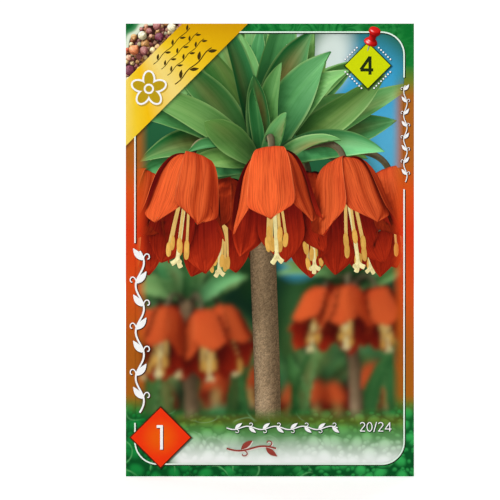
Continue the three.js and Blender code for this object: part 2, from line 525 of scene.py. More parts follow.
def light_sheets(sheets, shine=0.0, tight=24.0):
    """Sets each sheet's light: sun with soft shadows, sun through it from behind, and the sky that
    each point sees, on the face that the viewer sees. Returns the tree of all sheets."""
    tree = sheets_tree(sheets)
    points = np.concatenate([s.points.reshape(-1, 3) for s in sheets])
    normals = np.concatenate([s.normals.reshape(-1, 3) for s in sheets])
    seen = normals * np.where(normals @ VIEWER < 0, -1.0, 1.0)[:, None]
    helper = np.where(np.abs(seen[:, 2:]) < 0.9, [[0.0, 0.0, 1.0]], [[1.0, 0.0, 0.0]])
    side = unit(np.cross(helper, seen))
    up = np.cross(seen, side)
    flat = np.concatenate([np.full(s.points[..., 0].size, s.flat) for s in sheets])[:, None]

    sky = np.zeros(len(points))
    start = points + np.where(flat, VIEWER * FLAT_GAP, seen * SKY_GAP)
    for d in sphere_points(SKY_RAYS):
        rays = side * d[0] + up * d[1] + seen * d[2]
        bright = 0.22 + 0.78 * smooth(rays @ SUN, -0.75, 0.95)
        rays = np.where(flat & (rays[:, 1:2] > 0), rays * [1, -1, 1], rays)
        for i, (origin, ray) in enumerate(zip(start.tolist(), rays.tolist())):
            hit = tree.ray_cast(origin, ray, SKY_REACH)
            sky[i] += bright[i] * (1.0 if hit[0] is None else 0.5 * hit[3] / SKY_REACH)
    sky /= SKY_RAYS

    facing = seen @ SUN
    lit_side = seen * np.where(facing < 0, -1.0, 1.0)[:, None]
    start = points + np.where(flat, VIEWER * FLAT_GAP, lit_side * SUN_GAP)
    sun = np.zeros(len(points))
    for offset in np.random.default_rng(4).normal(size=(SUN_RAYS, 3)) * SUN_SOFTNESS:
        ray = unit(SUN + offset).tolist()
        for i, origin in enumerate(start.tolist()):
            sun[i] += tree.ray_cast(origin, ray)[0] is None
    sun /= SUN_RAYS
    glint = shine * np.clip(seen @ unit(SUN + VIEWER), 0, 1) ** tight * sun

    start = 0
    for sheet in sheets:
        shape = sheet.points.shape[:2]
        part = slice(start, start + shape[0] * shape[1])
        start = part.stop
        light = sky[part, None] * SKY_COLOUR
        light = light + (sun[part] * np.clip(facing[part], 0, 1))[:, None] * SUN_COLOUR
        light = light + (sun[part] * np.clip(-facing[part], 0, 1))[:, None] * THROUGH_COLOUR
        sheet.light = sheet.least + (1 - sheet.least) * light.reshape(*shape, 3)
        sheet.glint = glint[part].reshape(shape)
    return tree


def inked(sheet):
    """A lit sheet's faces, turned to the viewer, and the ink at each of their corners. Where light
    is scarce it has bounced between like petals, so the ink is deeper in colour there, and it is
    paler where light is strong."""
    quads = sheet.quads()
    p = sheet.points.reshape(-1, 3)
    cut = np.cross(p[quads[:, 2]] - p[quads[:, 0]], p[quads[:, 3]] - p[quads[:, 1]])
    front = (sheet.normals.reshape(-1, 3)[quads].mean(1) @ VIEWER > 0)[:, None, None]
    base = np.where(front, sheet.outside.reshape(-1, 3)[quads], sheet.inside.reshape(-1, 3)[quads])
    light = sheet.light.reshape(-1, 3)[quads]
    tint = np.clip(base / np.maximum(base.max(-1, keepdims=True), 1e-6), 0.02, 1)
    scarce = np.clip(1 - light.mean(-1, keepdims=True), -0.12, 1)
    ink = base * light * tint ** (0.5 * scarce) + sheet.glint.reshape(-1)[quads][:, :, None]
    seen = cut @ VIEWER > 0
    quads = np.where(seen[:, None], quads, quads[:, ::-1])
    ink = np.where(seen[:, None, None], ink, ink[:, ::-1])
    return quads, ink


MARGIN = 1.1  # how far the picture runs on under the border
WINDOW = ((-LINE_X - MARGIN, LINE_X + MARGIN), (LINE_LOW - MARGIN, LINE_HIGH + MARGIN))
WHOLE_CARD = ((-HALF, HALF), (0.0, HEIGHT))


def depth_reach(sheets):
    """How near and how far the sheets of a drawing reach."""
    y = np.concatenate([s.points[..., 1].ravel() for s in sheets])
    return y.min(), y.max() + 1e-6


def flat_piece(name, sheets, material, depth, reach, tree, crop=None, bounds=WINDOW):
    """Lit sheets pressed flat into one piece of the print: their reach of depths goes between two
    depths behind the card's front. Faces that don't show, or that crop leaves out, are dropped."""
    near, far = reach
    points, grain, faces, inks = [], [], [], []
    start = 0
    for sheet in sheets:
        quads, ink = inked(sheet)
        p = sheet.points.reshape(-1, 3)
        keep = np.ones(len(quads), bool) if crop is None else crop(p[quads])
        keep[keep] = [shows(p[quad], tree) for quad in quads[keep]]
        points.append(p)
        grain.append(sheet.grain.reshape(-1, 3))
        faces.append(quads[keep] + start)
        inks.append(ink[keep])
        start += len(p)
    points, grain = np.concatenate(points), np.concatenate(grain)
    faces, inks = np.concatenate(faces), np.concatenate(inks)
    used, faces = np.unique(faces, return_inverse=True)
    faces = faces.reshape(-1, 4)
    points, grain = points[used], grain[used]
    share = np.clip((points[:, 1] - near) / (far - near), 0, 1)
    points[:, 1] = FRONT + depth[0] + (depth[1] - depth[0]) * share
    points[:, 0] = np.clip(points[:, 0], *bounds[0])
    points[:, 2] = np.clip(points[:, 2], *bounds[1])
    paint(make_piece(name, points, faces, material, True), inks.reshape(-1, 3), grain)


def shows(quad, tree):
    """Whether anything of a face shows past the rest of the drawing."""
    middle = quad.mean(0)
    spots = [middle] + [middle + 0.85 * (corner - middle) for corner in quad]
    starts = ((spot + VIEWER * 0.02).tolist() for spot in spots)
    return any(tree.ray_cast(start, VIEWER.tolist())[0] is None for start in starts)


def paint(piece, inks, grain=None, facing=-1.0):
    """Gives each corner of a piece's faces its ink, and turns its shading flat to the viewer."""
    mesh = piece.data
    colours = mesh.color_attributes.new("ink", "FLOAT_COLOR", "CORNER")
    full = np.ones((len(mesh.loops), 4), np.float32)
    full[:, :3] = np.clip(inks, 0, 1)
    colours.data.foreach_set("color", full.ravel())
    if grain is not None:
        attribute = mesh.attributes.new("grain", "FLOAT_VECTOR", "POINT")
        attribute.data.foreach_set("vector", np.ascontiguousarray(grain, np.float32).ravel())
    mesh.normals_split_custom_set_from_vertices([(0.0, facing, 0.0)] * len(mesh.vertices))


# ---------------------------------------------------------------- flowers and leaves


def tube(path, radius, colour, sides=10, least=0.0):
    """A round stalk along a path, thick as radius says at each point of it."""
    path = np.asarray(path, float)
    tangent = unit(np.gradient(path, axis=0))
    side = unit(np.cross(tangent, [0.05, -1.0, 0.08]))
    up = np.cross(side, tangent)
    turn = np.linspace(0, 2 * math.pi, sides, endpoint=False)
    ring = side[:, None] * np.cos(turn)[None, :, None] + up[:, None] * np.sin(turn)[None, :, None]
    radius = np.broadcast_to(radius, len(path))[:, None, None]
    grain = np.zeros((len(path), sides, 3))
    grain[:, :, 0] = turn * radius[:, :, 0]
    grain[:, :, 1] = path_lengths(path)[:, None]
    grain[:, :, 2] = path[0, 0]
    points = path[:, None] + ring * radius
    return Sheet(points, colour, grain=grain, closed=True, centre=path[:, None], least=least)


PETAL_OUT = linear(209, 82, 35)
PETAL_DEEP = linear(190, 54, 24)
PETAL_BASE = linear(84, 48, 28)
PETAL_RIM = linear(238, 128, 72)
PETAL_IN = linear(222, 74, 34)
PETAL_IN_DEEP = linear(162, 34, 27)
FILAMENT = linear(244, 204, 122)
ANTHER = linear(250, 194, 96)
STIGMA = linear(255, 240, 176)
STALK = linear(92, 84, 62)
STALK_LIT = linear(150, 140, 104)
STEM_DARK = linear(92, 77, 58)
STEM_PALE = linear(170, 143, 110)
STAMEN_LIGHT = 0.72  # the least light on a stamen, which petals shine on from all round
PETAL_GRID = (32, 19)
BELL_TILT = math.radians(30)  # of a bell towards the viewer
# A petal of a bell of size 1: how far it reaches down the axis and away from it, and half its width,
# each with its course from root to tip.
PETAL_DOWN, PETAL_AWAY, PETAL_HALF = 52.0, 20.5, 12.8
DOWN_COURSE = [(0, 0), (0.03, 0.008), (0.08, 0.035), (0.16, 0.1), (0.32, 0.26), (0.65, 0.63), (1, 1)]
AWAY_COURSE = [(0, 0.07), (0.03, 0.2), (0.08, 0.38), (0.16, 0.56), (0.36, 0.77), (0.7, 0.95), (1, 1.12)]
HALF_COURSE = [(0, 0.24), (0.08, 0.5), (0.3, 0.78), (0.55, 0.93)]
HALF_COURSE += [(0.72, 1), (0.8, 0.92), (0.9, 0.55), (1, 0.02)]


def rounded_share(count):
    """Places from -1 to 1 across a petal or leaf, closer together at its edges."""
    u = np.linspace(-1, 1, count)[None, :]
    return 1.5 * u - 0.5 * u**3


class Bell:
    """One hanging flower: six petals in two rings, six stamens and a style."""

    def __init__(self, top, lean, turn, size, seed, grid=PETAL_GRID):
        self.top = np.asarray(top, float)
        self.size = size
        self.grid = grid
        self.random = np.random.default_rng(seed)
        lean, flat = math.radians(lean), math.cos(BELL_TILT)
        self.axis = unit([math.sin(lean) * flat, -math.sin(BELL_TILT), -math.cos(lean) * flat])
        self.out = unit(VIEWER - self.axis * (VIEWER @ self.axis))
        self.side = np.cross(self.axis, self.out)
        self.turn = math.radians(turn)

    def round_axis(self, angle):
        """The direction off the axis at an angle from the side that faces the viewer."""
        return math.cos(angle) * self.out + math.sin(angle) * self.side

    def petal(self, k):
        outer = k % 2 == 0
        size = self.size
        t = np.linspace(0, 1, self.grid[0])[:, None]
        s = rounded_share(self.grid[1])
        angle = self.turn + k * math.pi / 3 + self.random.uniform(-0.09, 0.09)
        out = self.round_axis(angle)
        side = np.cross(self.axis, out)
        length = PETAL_DOWN * size * self.random.uniform(0.94, 1.04) * (1.0 if outer else 0.97)
        away = PETAL_AWAY * size * curve(t, AWAY_COURSE) * (1.04 if outer else 0.91)
        away = away + size * self.random.uniform(-1.5, 2.5) * smooth(t, 0.5, 1.0)
        down = length * curve(t, DOWN_COURSE)
        half = PETAL_HALF * size * curve(t, HALF_COURSE) * self.random.uniform(0.93, 1.05)
        skew = self.random.uniform(-0.12, 0.12) * smooth(t, 0.7, 1.0)
        wrap = away * 0.8 + 5.5 * size
        phi = (s + skew) * half / wrap
        ridge = 0.75 * np.exp(-((s / 0.16) ** 2)) * smooth(t, 0.02, 0.2) * smooth(t, 1.0, 0.7)
        flutes = 0.3 * np.cos(9.4 * s + 0.8 * np.sin(5 * t + k)) * smooth(t, 0.05, 0.3)
        wave = size * (0.45 * s**2 * np.sin(8 * t + 2 * k) - ridge - flutes)
        lift = (0.6 if outer else -0.2) + 0.6 * self.random.uniform(-0.6, 1.0)
        edge = size * 0.9 * np.abs(s) ** 3 * lift * smooth(t, 0.15, 0.6)
        rise = away - wrap + wrap * np.cos(phi) + wave + edge
        spine = self.top + down[..., None] * self.axis
        points = spine + rise[..., None] * out + (wrap * np.sin(phi))[..., None] * side
        grain = np.zeros((*self.grid, 3))
        grain[..., 0] = s * (0.4 * PETAL_HALF + 0.6 * half / size)
        grain[..., 1] = t * 50.0
        grain[..., 2] = 3.7 * k + 11.0 * self.random.uniform()
        deep = 0.75 * np.exp(-((t / 0.2) ** 2)) + 0.34 * np.abs(s) ** 2.5
        deep = deep + 0.16 * np.sin(6 * t + 2.2 * s + 3 * k)
        outside = blend(PETAL_OUT, PETAL_DEEP, np.clip(deep, 0, 1)) * self.random.uniform(0.86, 1.04)
        outside = blend(outside, PETAL_BASE, 0.85 * np.exp(-((t / 0.07) ** 2)) + 0 * s)
        rim = smooth(np.abs(s), 0.95, 0.985) * smooth(t, 0.85, 0.6) * smooth(t, 0.02, 0.1)
        outside = blend(outside, PETAL_RIM, 0.4 * rim)
        inside = blend(PETAL_IN_DEEP, PETAL_IN, smooth(t, 0.35, 0.95) + 0 * s)
        return Sheet(points, outside, inside, grain, centre=spine)

    def petals(self):
        return [self.petal(k) for k in range(6)]

    def stamens(self):
        """Stamens round a style, which bend from the bell's axis towards straight down."""
        sheets = []
        down = unit(self.axis + [0, 0, -0.7])
        for k in range(7):
            style = k == 6
            out = self.round_axis(self.turn + k * math.pi / 3 + 0.4)
            spread = (0.0 if style else self.random.uniform(3.0, 5.6)) * self.size
            reach = (53.0 if style else self.random.uniform(41.0, 50.0)) * self.size
            start = self.top + self.axis * 9.0 * self.size + out * 1.5
            middle = self.top + self.axis * 0.55 * reach + out * 0.7 * spread
            end = middle + unit(down + self.axis) * 0.5 * reach + out * 0.4 * spread
            path = bezier([start, start + self.axis * 12.0, middle, end], 16)
            width = (0.95 if style else 0.62) * self.size
            sheets.append(tube(path, width, STIGMA if style else FILAMENT, 8, STAMEN_LIGHT))
            sheets += self.stigma(end, down) if style else [self.anther(end, down)]
        return sheets

    def anther(self, place, down):
        t = np.linspace(0, 1, 12)
        lean = unit(down + self.random.normal(size=3) * 0.08)
        path = place + np.outer(t * 8.0 - 2.0, lean) * self.size
        radius = 1.32 * self.size * np.sqrt(np.clip(1 - (2 * t - 1) ** 2, 0.004, 1)) ** 0.7
        return tube(path, radius, ANTHER * self.random.uniform(0.82, 1.0), 12, STAMEN_LIGHT)

    def stigma(self, place, down):
        lobes = []
        for k in range(3):
            out = self.round_axis(self.turn + k * 2 * math.pi / 3)
            ends = [place + down * a + out * b for a, b in ((0, 0), (1.8, 0), (3.2, 1.2), (4.2, 3.0))]
            path = place + (bezier(ends, 9) - place) * self.size
            lobes.append(tube(path, np.linspace(1.0, 1.25, 9) * self.size, STIGMA, 8, STAMEN_LIGHT))
        return lobes

    def stalk(self, crown):
        """The stalk from the head's crown, up, over and down into the bell."""
        away = (self.top - crown) * [1, 1, 0]
        root = crown + 0.12 * away
        rise = 11.0 * self.size
        ends = [
            root,
            root + 0.5 * away + [0, 0, rise],
            self.top - self.axis * rise + [0, 0, 0.35 * rise],
            self.top + self.axis * 0.6,
        ]
        path = bezier(ends, 26)
        lit = smooth(np.cos(np.linspace(0, 2 * math.pi, 14, endpoint=False)), 0.5, 1.0)
        return tube(path, np.linspace(2.0, 1.7, 26) * self.size, blend(STALK, STALK_LIT, lit), 14)


LEAF_DARK = linear(12, 98, 48)
LEAF_PALE = linear(128, 188, 114)
LEAF_RIM = linear(186, 218, 142)
LEAF_BLUSH = linear(138, 106, 62)
LEAF_GRID = (34, 13)
LEAF_HALF = [(0, 0.5), (0.2, 0.84), (0.42, 1), (0.7, 0.8), (0.9, 0.36), (1, 0.02)]
GOLDEN = 0.6180339  # spreads the leaves of a tuft evenly, whatever their count


def leaf(base, heading, length, width, droop, facing, seed, tone, grid):
    """A long pointed leaf, hollow along its middle, that bends over under its weight."""
    random = np.random.default_rng(seed)
    t = np.linspace(0, 1, grid[0])[:, None]
    s = rounded_share(grid[1])
    heading = unit(heading)
    path = np.asarray(base, float) + heading * length * t
    path = path + np.array([0, 0, -1.0]) * droop * length * t**2.2
    path = path + np.cross(heading, VIEWER) * random.uniform(-0.09, 0.09) * length * np.sin(2.6 * t)
    tangent = unit(np.gradient(path, axis=0))
    twist = random.uniform(-0.9, 0.9)
    side0 = unit(np.cross(tangent, unit(facing)))
    up0 = np.cross(side0, tangent)
    side = side0 * np.cos(twist * t) + up0 * np.sin(twist * t)
    up = np.cross(side, tangent)
    half = width / 2 * curve(t, LEAF_HALF)
    hollow = half * 0.42 * (s**2 - 1) + 0.55 * np.sin(6 * t + 3 * s + seed) * s**2
    points = path[:, None] + side[:, None] * (s * half)[..., None] + up[:, None] * hollow[..., None]
    grain = np.zeros((*grid, 3))
    grain[..., 0] = s * (0.3 * width + 0.7 * half) / 1.6
    grain[..., 1] = t * length
    grain[..., 2] = (seed * 5.3) % 97
    shade = tone + 0.26 * np.sin(2.2 * t + seed) * s + 0.18 * np.exp(-((s / 0.08) ** 2)) + 0.3 * (t - 0.5)
    colour = blend(LEAF_DARK, LEAF_PALE, np.clip(shade, 0, 1))
    warm, blush = random.uniform(-1, 1), max(0.0, random.uniform(-0.4, 0.75))
    colour = colour * (1 + np.array([0.3, -0.03, -0.22]) * warm)
    patch = np.exp(-(((s - 0.2 * warm) / 0.5) ** 2) - ((t - 0.55) / 0.3) ** 2)
    colour = blend(colour, LEAF_BLUSH, blush * patch)
    rim = smooth(np.abs(s), 0.92, 0.98) * smooth(t, 1.0, 0.9)
    dim_root = 1 - 0.6 * np.exp(-((t / 0.3) ** 2))
    colour = blend(colour, LEAF_RIM, 0.5 * rim) * dim_root[..., None]
    return Sheet(points, colour, colour * 0.92, grain)


def tuft(crown, count, reach, spread, width, seed, away, limp, grid=LEAF_GRID):
    """The leaves that stand in a tuft on top of a flower head."""
    random = np.random.default_rng(seed)
    leaves = []
    for k in range(count):
        lean = math.radians(-spread + 2 * spread * ((k * GOLDEN) % 1.0))
        back = random.uniform(*away)
        heading = [math.sin(lean), back, math.cos(lean)]
        length = reach * random.uniform(0.72, 1.15)
        droop = 0.05 + 0.36 * abs(math.sin(lean)) * random.uniform(0.4, 1.3) + 0.2 * max(0.0, -back)
        facing = [random.uniform(-0.9, 0.9), -1.0, random.uniform(-0.2, 0.9)]
        base = np.asarray(crown) + [5.0 * math.sin(lean), 5.0 * back, random.uniform(-4, 3)]
        tone = random.uniform(0.1, 0.95)
        size = width * random.uniform(0.7, 1.2)
        leaves.append(leaf(base, heading, length, size, droop * limp, facing, seed * 100 + k, tone, grid))
    return leaves


def set_apart(leaves, near, far):
    """Sets leaves one behind another, each of them almost flat, so that none cuts through the next."""
    gap = (far - near) / len(leaves)
    for place, k in enumerate(np.argsort([sheet.points[..., 1].mean() for sheet in leaves])):
        y = leaves[k].points[..., 1]
        leaves[k].points[..., 1] = near + gap * (place + 0.8 * (y - y.min()) / max(np.ptp(y), 1e-6))
        leaves[k].flat = True


# ---------------------------------------------------------------- the picture

MAIN_CROWN = np.array([-4.0, 6.0, 158.0])
# Each bell of the main head: the place of its top, how far it leans and turns, and its size.
MAIN_BELLS = [
    ((1.0, -24.0, 158.0), 3.0, 8.0, 1.0),
    ((36.0, -12.0, 153.0), 9.0, 34.0, 0.98),
    ((-38.0, -10.0, 155.0), -9.0, -19.0, 0.98),
    ((58.0, 12.0, 148.0), 15.0, 10.0, 0.9),
    ((-60.0, 14.0, 147.0), -14.0, 44.0, 0.9),
    ((19.0, 24.0, 146.0), 4.0, 52.0, 0.86),
    ((-22.0, 26.0, 144.0), -4.0, 22.0, 0.86),
    ((44.0, 32.0, 142.0), 8.0, -30.0, 0.8),
]
# The heads behind it: each one's place, size, how far it is turned, and how many bells it shows.
FAR_HEADS = [
    ((-40.0, 60.0, 86.0), 0.62, 10.0, 5),
    ((40.0, 60.0, 96.0), 0.56, 40.0, 5),
    ((62.0, 100.0, 58.0), 0.42, 0.0, 4),
    ((-17.0, 100.0, 56.0), 0.36, 50.0, 4),
    ((-66.0, 100.0, 52.0), 0.36, 30.0, 4),
    ((22.0, 100.0, 48.0), 0.32, 15.0, 4),
]
# The grids of such a head's petals and leaves, and of the leaves far behind it and beside it.
FAR_PETAL_GRID = (14, 9)
FAR_TUFT_GRID = (16, 7)
FAR_LEAF_GRID = (18, 7)
LOW_LEAF_GRID = (24, 9)
# Leaves that stand up between those heads: where each one stands, how far it leans, and its length.
LOW_LEAVES = [
    (-62.0, 0.22, 66.0),
    (-52.0, -0.12, 50.0),
    (-20.0, 0.3, 70.0),
    (-12.0, -0.1, 52.0),
    (10.0, 0.24, 64.0),
    (20.0, -0.2, 54.0),
    (46.0, 0.3, 56.0),
    (63.0, -0.15, 64.0),
]
# Sky that shows in soft patches between the far leaves: each one's middle, how far it reaches along x
# and z, its lean, how soft its edge is, and its colour.
SKY_PATCHES = [
    (50, 186, 20, 26, 20, 0.5, linear(60, 164, 212)),
    (62, 158, 14, 20, 0, 0.6, linear(84, 172, 210)),
    (30, 204, 9, 15, -14, 0.6, linear(222, 234, 226)),
    (10, 210, 8, 12, 12, 0.6, linear(206, 226, 220)),
    (-27, 203, 12, 16, 30, 0.6, linear(76, 166, 206)),
    (-60, 126, 10, 20, 0, 0.7, linear(128, 152, 108)),
    (14, 104, 8, 7, 20, 0.7, linear(60, 160, 196)),
    (58, 112, 7, 8, -20, 0.7, linear(60, 160, 200)),
]


def make_head(crown, bells, seed):
    """The petals, stamens and stalks of one flower head."""
    petals, stamens, stalks = [], [], []
    for k, (top, lean, turn, size) in enumerate(bells):
        bell = Bell(top, lean, turn, size, seed=seed + k)
        petals += bell.petals()
        stamens += bell.stamens()
        stalks.append(bell.stalk(crown + [0, 0, -5.0]))
    return petals, stamens, stalks


def make_stem(crown, foot, radius, rows=200, sides=48):
    """A stem with a darker side, a pale ridge and specks of both."""
    foot, crown = np.array(foot), np.asarray(crown, float)
    path = bezier([foot, foot + [1.0, 0, 60.0], crown - [1.0, 0, 50.0], crown], rows)
    random = np.random.default_rng(int(radius * 10))
    turn = np.linspace(0, 2 * math.pi, sides, endpoint=False)[None, :]
    tone = random.uniform(-0.28, 0.28, size=(rows, sides))
    tone = tone + 0.45 + 0.3 * np.cos(turn - 1.2) + 0.2 * np.cos(3 * turn)
    return tube(path, radius, blend(STEM_DARK, STEM_PALE, np.clip(tone, 0, 1)), sides)


def soft_patch(x, z, centre_x, centre_z, half_x, half_z, lean, edge):
    """How much of a soft round patch covers each place: 1 inside and 0 well outside it."""
    lean = math.radians(lean)
    across = (x - centre_x) * math.cos(lean) + (z - centre_z) * math.sin(lean)
    up = -(x - centre_x) * math.sin(lean) + (z - centre_z) * math.cos(lean)
    return smooth(np.hypot(across / half_x, up / half_z), 1 + edge, 1 - edge)


def blurred(image, cells):
    """An image blurred by a bell curve that many cells wide."""
    reach = int(3 * cells)
    weights = np.exp(-0.5 * (np.arange(-reach, reach + 1) / cells) ** 2)
    weights /= weights.sum()
    for axis in (0, 1):
        pad = [(reach, reach) if k == axis else (0, 0) for k in range(3)]
        wide = np.pad(image, pad, mode="edge")
        size = image.shape[axis]
        parts = [w * np.take(wide, range(k, k + size), axis) for k, w in enumerate(weights)]
        image = np.sum(parts, 0)
    return image


def seen_at(sheets, x, z):
    """What shows of lit sheets at each place: its ink, and 1 where there is any sheet."""
    tree = sheets_tree(sheets)
    inks = np.concatenate([inked(sheet)[1].mean(1) for sheet in sheets])
    image = np.zeros((*x.shape, 4))
    flat = image.reshape(-1, 4)
    for i, (px, pz) in enumerate(zip(x.ravel().tolist(), z.ravel().tolist())):
        face = tree.ray_cast((px, -500.0, pz), (0.0, 1.0, 0.0))[2]
        if face is not None:
            flat[i, :3], flat[i, 3] = inks[face], 1
    return image


GROUND_STEP = 0.9  # between the places where the ground takes its colour, in millimetres


def make_far_head(middle, size, turn, count, seed):
    """A small head for the background, with a crown of leaves, its bells and its stem."""
    middle = np.array(middle)
    sheets = []
    for k in range(count):
        a = math.radians(turn - 180 + 330 * k / count)
        out = np.array([math.sin(a), -math.cos(a), 0.0])
        top = middle + out * 25 * size - [0, 0, (7 + 3 * (k % 2)) * size]
        lean = 16 * math.sin(a)
        bell = Bell(top, lean, 37 * k, size, seed=seed + k, grid=FAR_PETAL_GRID)
        sheets += bell.petals() + bell.stamens() + [bell.stalk(middle - [0, 0, 3 * size])]
    sheets += tuft(middle, 18, 58 * size, 66, 15 * size, seed + 40, (-0.3, 0.5), 0.7, FAR_TUFT_GRID)
    sheets.append(make_stem(middle, middle * [1, 1, 0] + [2, 0, 0], 5.6 * size))
    return sheets


def make_far_leaves():
    random = np.random.default_rng(11)
    leaves = []
    for k in range(52):
        base = [random.uniform(-80, 80), random.uniform(110, 180), random.uniform(-20, 120)]
        heading = [random.uniform(-0.7, 0.7), random.uniform(-0.2, 0.2), 1.0]
        facing = [random.uniform(-0.9, 0.9), -1.0, random.uniform(0, 0.6)]
        size = (random.uniform(50, 90), random.uniform(8, 15))
        tone = random.uniform(-0.1, 0.8)
        droop = random.uniform(0, 0.3)
        leaves.append(leaf(base, heading, *size, droop, facing, 900 + k, tone, FAR_LEAF_GRID))
    return leaves


def laid_over(colour, x, z, sheets, wide, bright):
    """An image with sheets in front of it, blurred over so many millimetres."""
    light_sheets(sheets)
    image = blurred(seen_at(sheets, x, z), wide / GROUND_STEP)
    return colour * (1 - image[..., 3:]) + image[..., :3] * bright


def make_ground():
    """What is out of focus behind the main plant: far leaves, sky, other heads and low leaves."""
    places = [np.linspace(*ends, int((ends[1] - ends[0]) / GROUND_STEP) + 1) for ends in WINDOW]
    x, z = np.meshgrid(*places)
    near, far = [], []
    for k, head in enumerate(FAR_HEADS):
        (near if head[0][1] < 80 else far).extend(make_far_head(*head, 60 + 50 * k))
    for k, (foot_x, lean, reach) in enumerate(LOW_LEAVES):
        foot, facing = [foot_x, 90.0, 14.0], [lean, -1.0, 0.4]
        heading = [lean, 0.1, 1.0]
        near.append(leaf(foot, heading, reach, 9.0, 0.12, facing, 700 + k, 0.3, LOW_LEAF_GRID))
    colour = blend(linear(3, 22, 14), linear(36, 98, 60), smooth(z + 0.15 * x, 60, 190))
    colour = laid_over(colour, x, z, make_far_leaves(), wide=2.6, bright=0.5)
    for *patch, sky in SKY_PATCHES:
        colour = blend(colour, sky, 0.9 * soft_patch(x, z, *patch))
    colour = laid_over(colour, x, z, far, wide=1.7, bright=0.6)
    colour = laid_over(colour, x, z, near, wide=1.0, bright=0.76)
    sheet = Sheet(np.stack([x, np.full_like(x, 100.0), z], -1), colour)
    sheet.light = np.ones((*x.shape, 3))
    sheet.glint = np.zeros(x.shape)
    return sheet


def in_window(quads):
    """Which faces reach inside the frame line."""
    x, z = quads[..., 0], quads[..., 2]
    return ((np.abs(x) < LINE_X + 1) & (z > LINE_LOW - 1) & (z < LINE_HIGH + 1)).any(1)


def make_picture():
    petals, stamens, stalks = make_head(MAIN_CROWN, MAIN_BELLS, 20)
    leaves = tuft(MAIN_CROWN, 26, 80, 58, 17.5, 3, (-0.35, 0.6), 0.6)
    leaves += tuft(MAIN_CROWN + [0, -2, -4], 18, 68, 82, 16.5, 15, (-0.5, 0.4), 0.9)
    leaves += tuft(MAIN_CROWN + [0, -4, -6], 6, 46, 72, 12.5, 9, (-0.8, -0.45), 0.7)
    set_apart(leaves, -15.0, 36.0)
    stems = [make_stem(MAIN_CROWN, [-1.0, 8.0, 0.0], 6.3)]
    everything = petals + stamens + stalks + leaves + stems
    tree, reach = light_sheets(everything), depth_reach(everything)
    depth = (LAYER_PICTURE, LAYER_GROUND - 0.015)
    red, green, brown = (0.5, 0.28, 0.3), (0.62, 0.8, 0.6), (0.6, 0.55, 0.5)
    for name, sheets, *streaks in (
        ("petals", petals, 1.9, 0.05, 0.62, red),
        ("stamens", stamens, 0.8, 0.3, 0.3, brown),
        ("stalks", stalks, 0.6, 0.25, 0.5, brown),
        ("leaves", leaves, 1.1, 0.035, 0.5, green),
        ("stem", stems, 1.0, 0.3, 0.3, brown, 0.5),
    ):
        material = picture_material("print_" + name, *streaks)
        flat_piece("picture_" + name, sheets, material, depth, reach, tree, in_window)
    ground = [make_ground()]
    depth, material = (LAYER_GROUND, LAYER_GROUND), picture_material("print_ground")
    reach, tree = depth_reach(ground), sheets_tree(ground)
    flat_piece("picture_ground", ground, material, depth, reach, tree, in_window)


# ---------------------------------------------------------------- flat signs

WHITE = np.array([0.95, 0.95, 0.94])


def arc(centre_x, centre_z, radius_x, radius_z, start, end, count=16):
    turn = np.radians(np.linspace(start, end, count))
    return np.stack([centre_x + radius_x * np.cos(turn), centre_z + radius_z * np.sin(turn)], -1)


def rounded_outline(x, low, high, radius, count=14):
    """A rectangle with round corners, counter-clockwise from the lower right."""
    right, left, bottom, top = x - radius, radius - x, low + radius, high - radius
    centres = ((right, bottom), (right, top), (left, top), (left, bottom))
    corners = [arc(*c, radius, radius, 90 * k - 90, 90 * k, count) for k, c in enumerate(centres)]
    return np.concatenate(corners)


def window_outline():
    """The frame line's own path."""
    return rounded_outline(LINE_X, LINE_LOW, LINE_HIGH, LINE_CORNER) + [LINE_SHIFT, 0]


CARD_OUTLINE = np.array([[-HALF, 0], [HALF, 0], [HALF, HEIGHT], [-HALF, HEIGHT]])


def corner_distance(x, z):
    """How far along the card's edges a band through this place would cut the corner."""
    return (x + HALF) + (HEIGHT - z)


def at_layer(flat, layer):
    """Places on the card's face as points at a layer's depth."""
    return np.insert(np.asarray(flat, float), 1, FRONT + layer, axis=-1)


def at_back(flat, layer):
    """The same on the card's back, where a place's x is to the right as seen from behind."""
    points = np.insert(np.asarray(flat, float), 1, BACK - layer, axis=-1)
    return points * [-1, 1, 1]


def turned(points, faces, facing=-1.0):
    """Faces of a flat shape, all turned to the viewer, or away from them with facing 1."""
    result = []
    for face in faces:
        a, b, c = (points[i] for i in face[:3])
        result.append(list(face) if np.cross(b - a, c - a)[1] * facing > 0 else list(face)[::-1])
    return result


def tessellated(*rings):
    """The faces of a flat shape by its outline and the outlines of its holes."""
    return geometry.tessellate_polygon([[Vector((*p, 0)) for p in ring] for ring in rings])


def make_border():
    """The printed border, outside the frame line's path, as one thin ring."""
    inner = window_outline()
    points = at_layer(np.concatenate([CARD_OUTLINE, inner]), LAYER_BORDER)
    faces = turned(points, tessellated(CARD_OUTLINE, inner))
    flat_map(make_piece("print_border", points, faces, border_material()))


def flat_map(piece):
    """A UV map straight from the place on the card."""
    layer = piece.data.uv_layers.new(name="OFBake")
    for loop, uv in zip(piece.data.loops, layer.data):
        x, _, z = piece.data.vertices[loop.vertex_index].co / MM
        uv.uv = (0.5 + x / HEIGHT, z / HEIGHT)


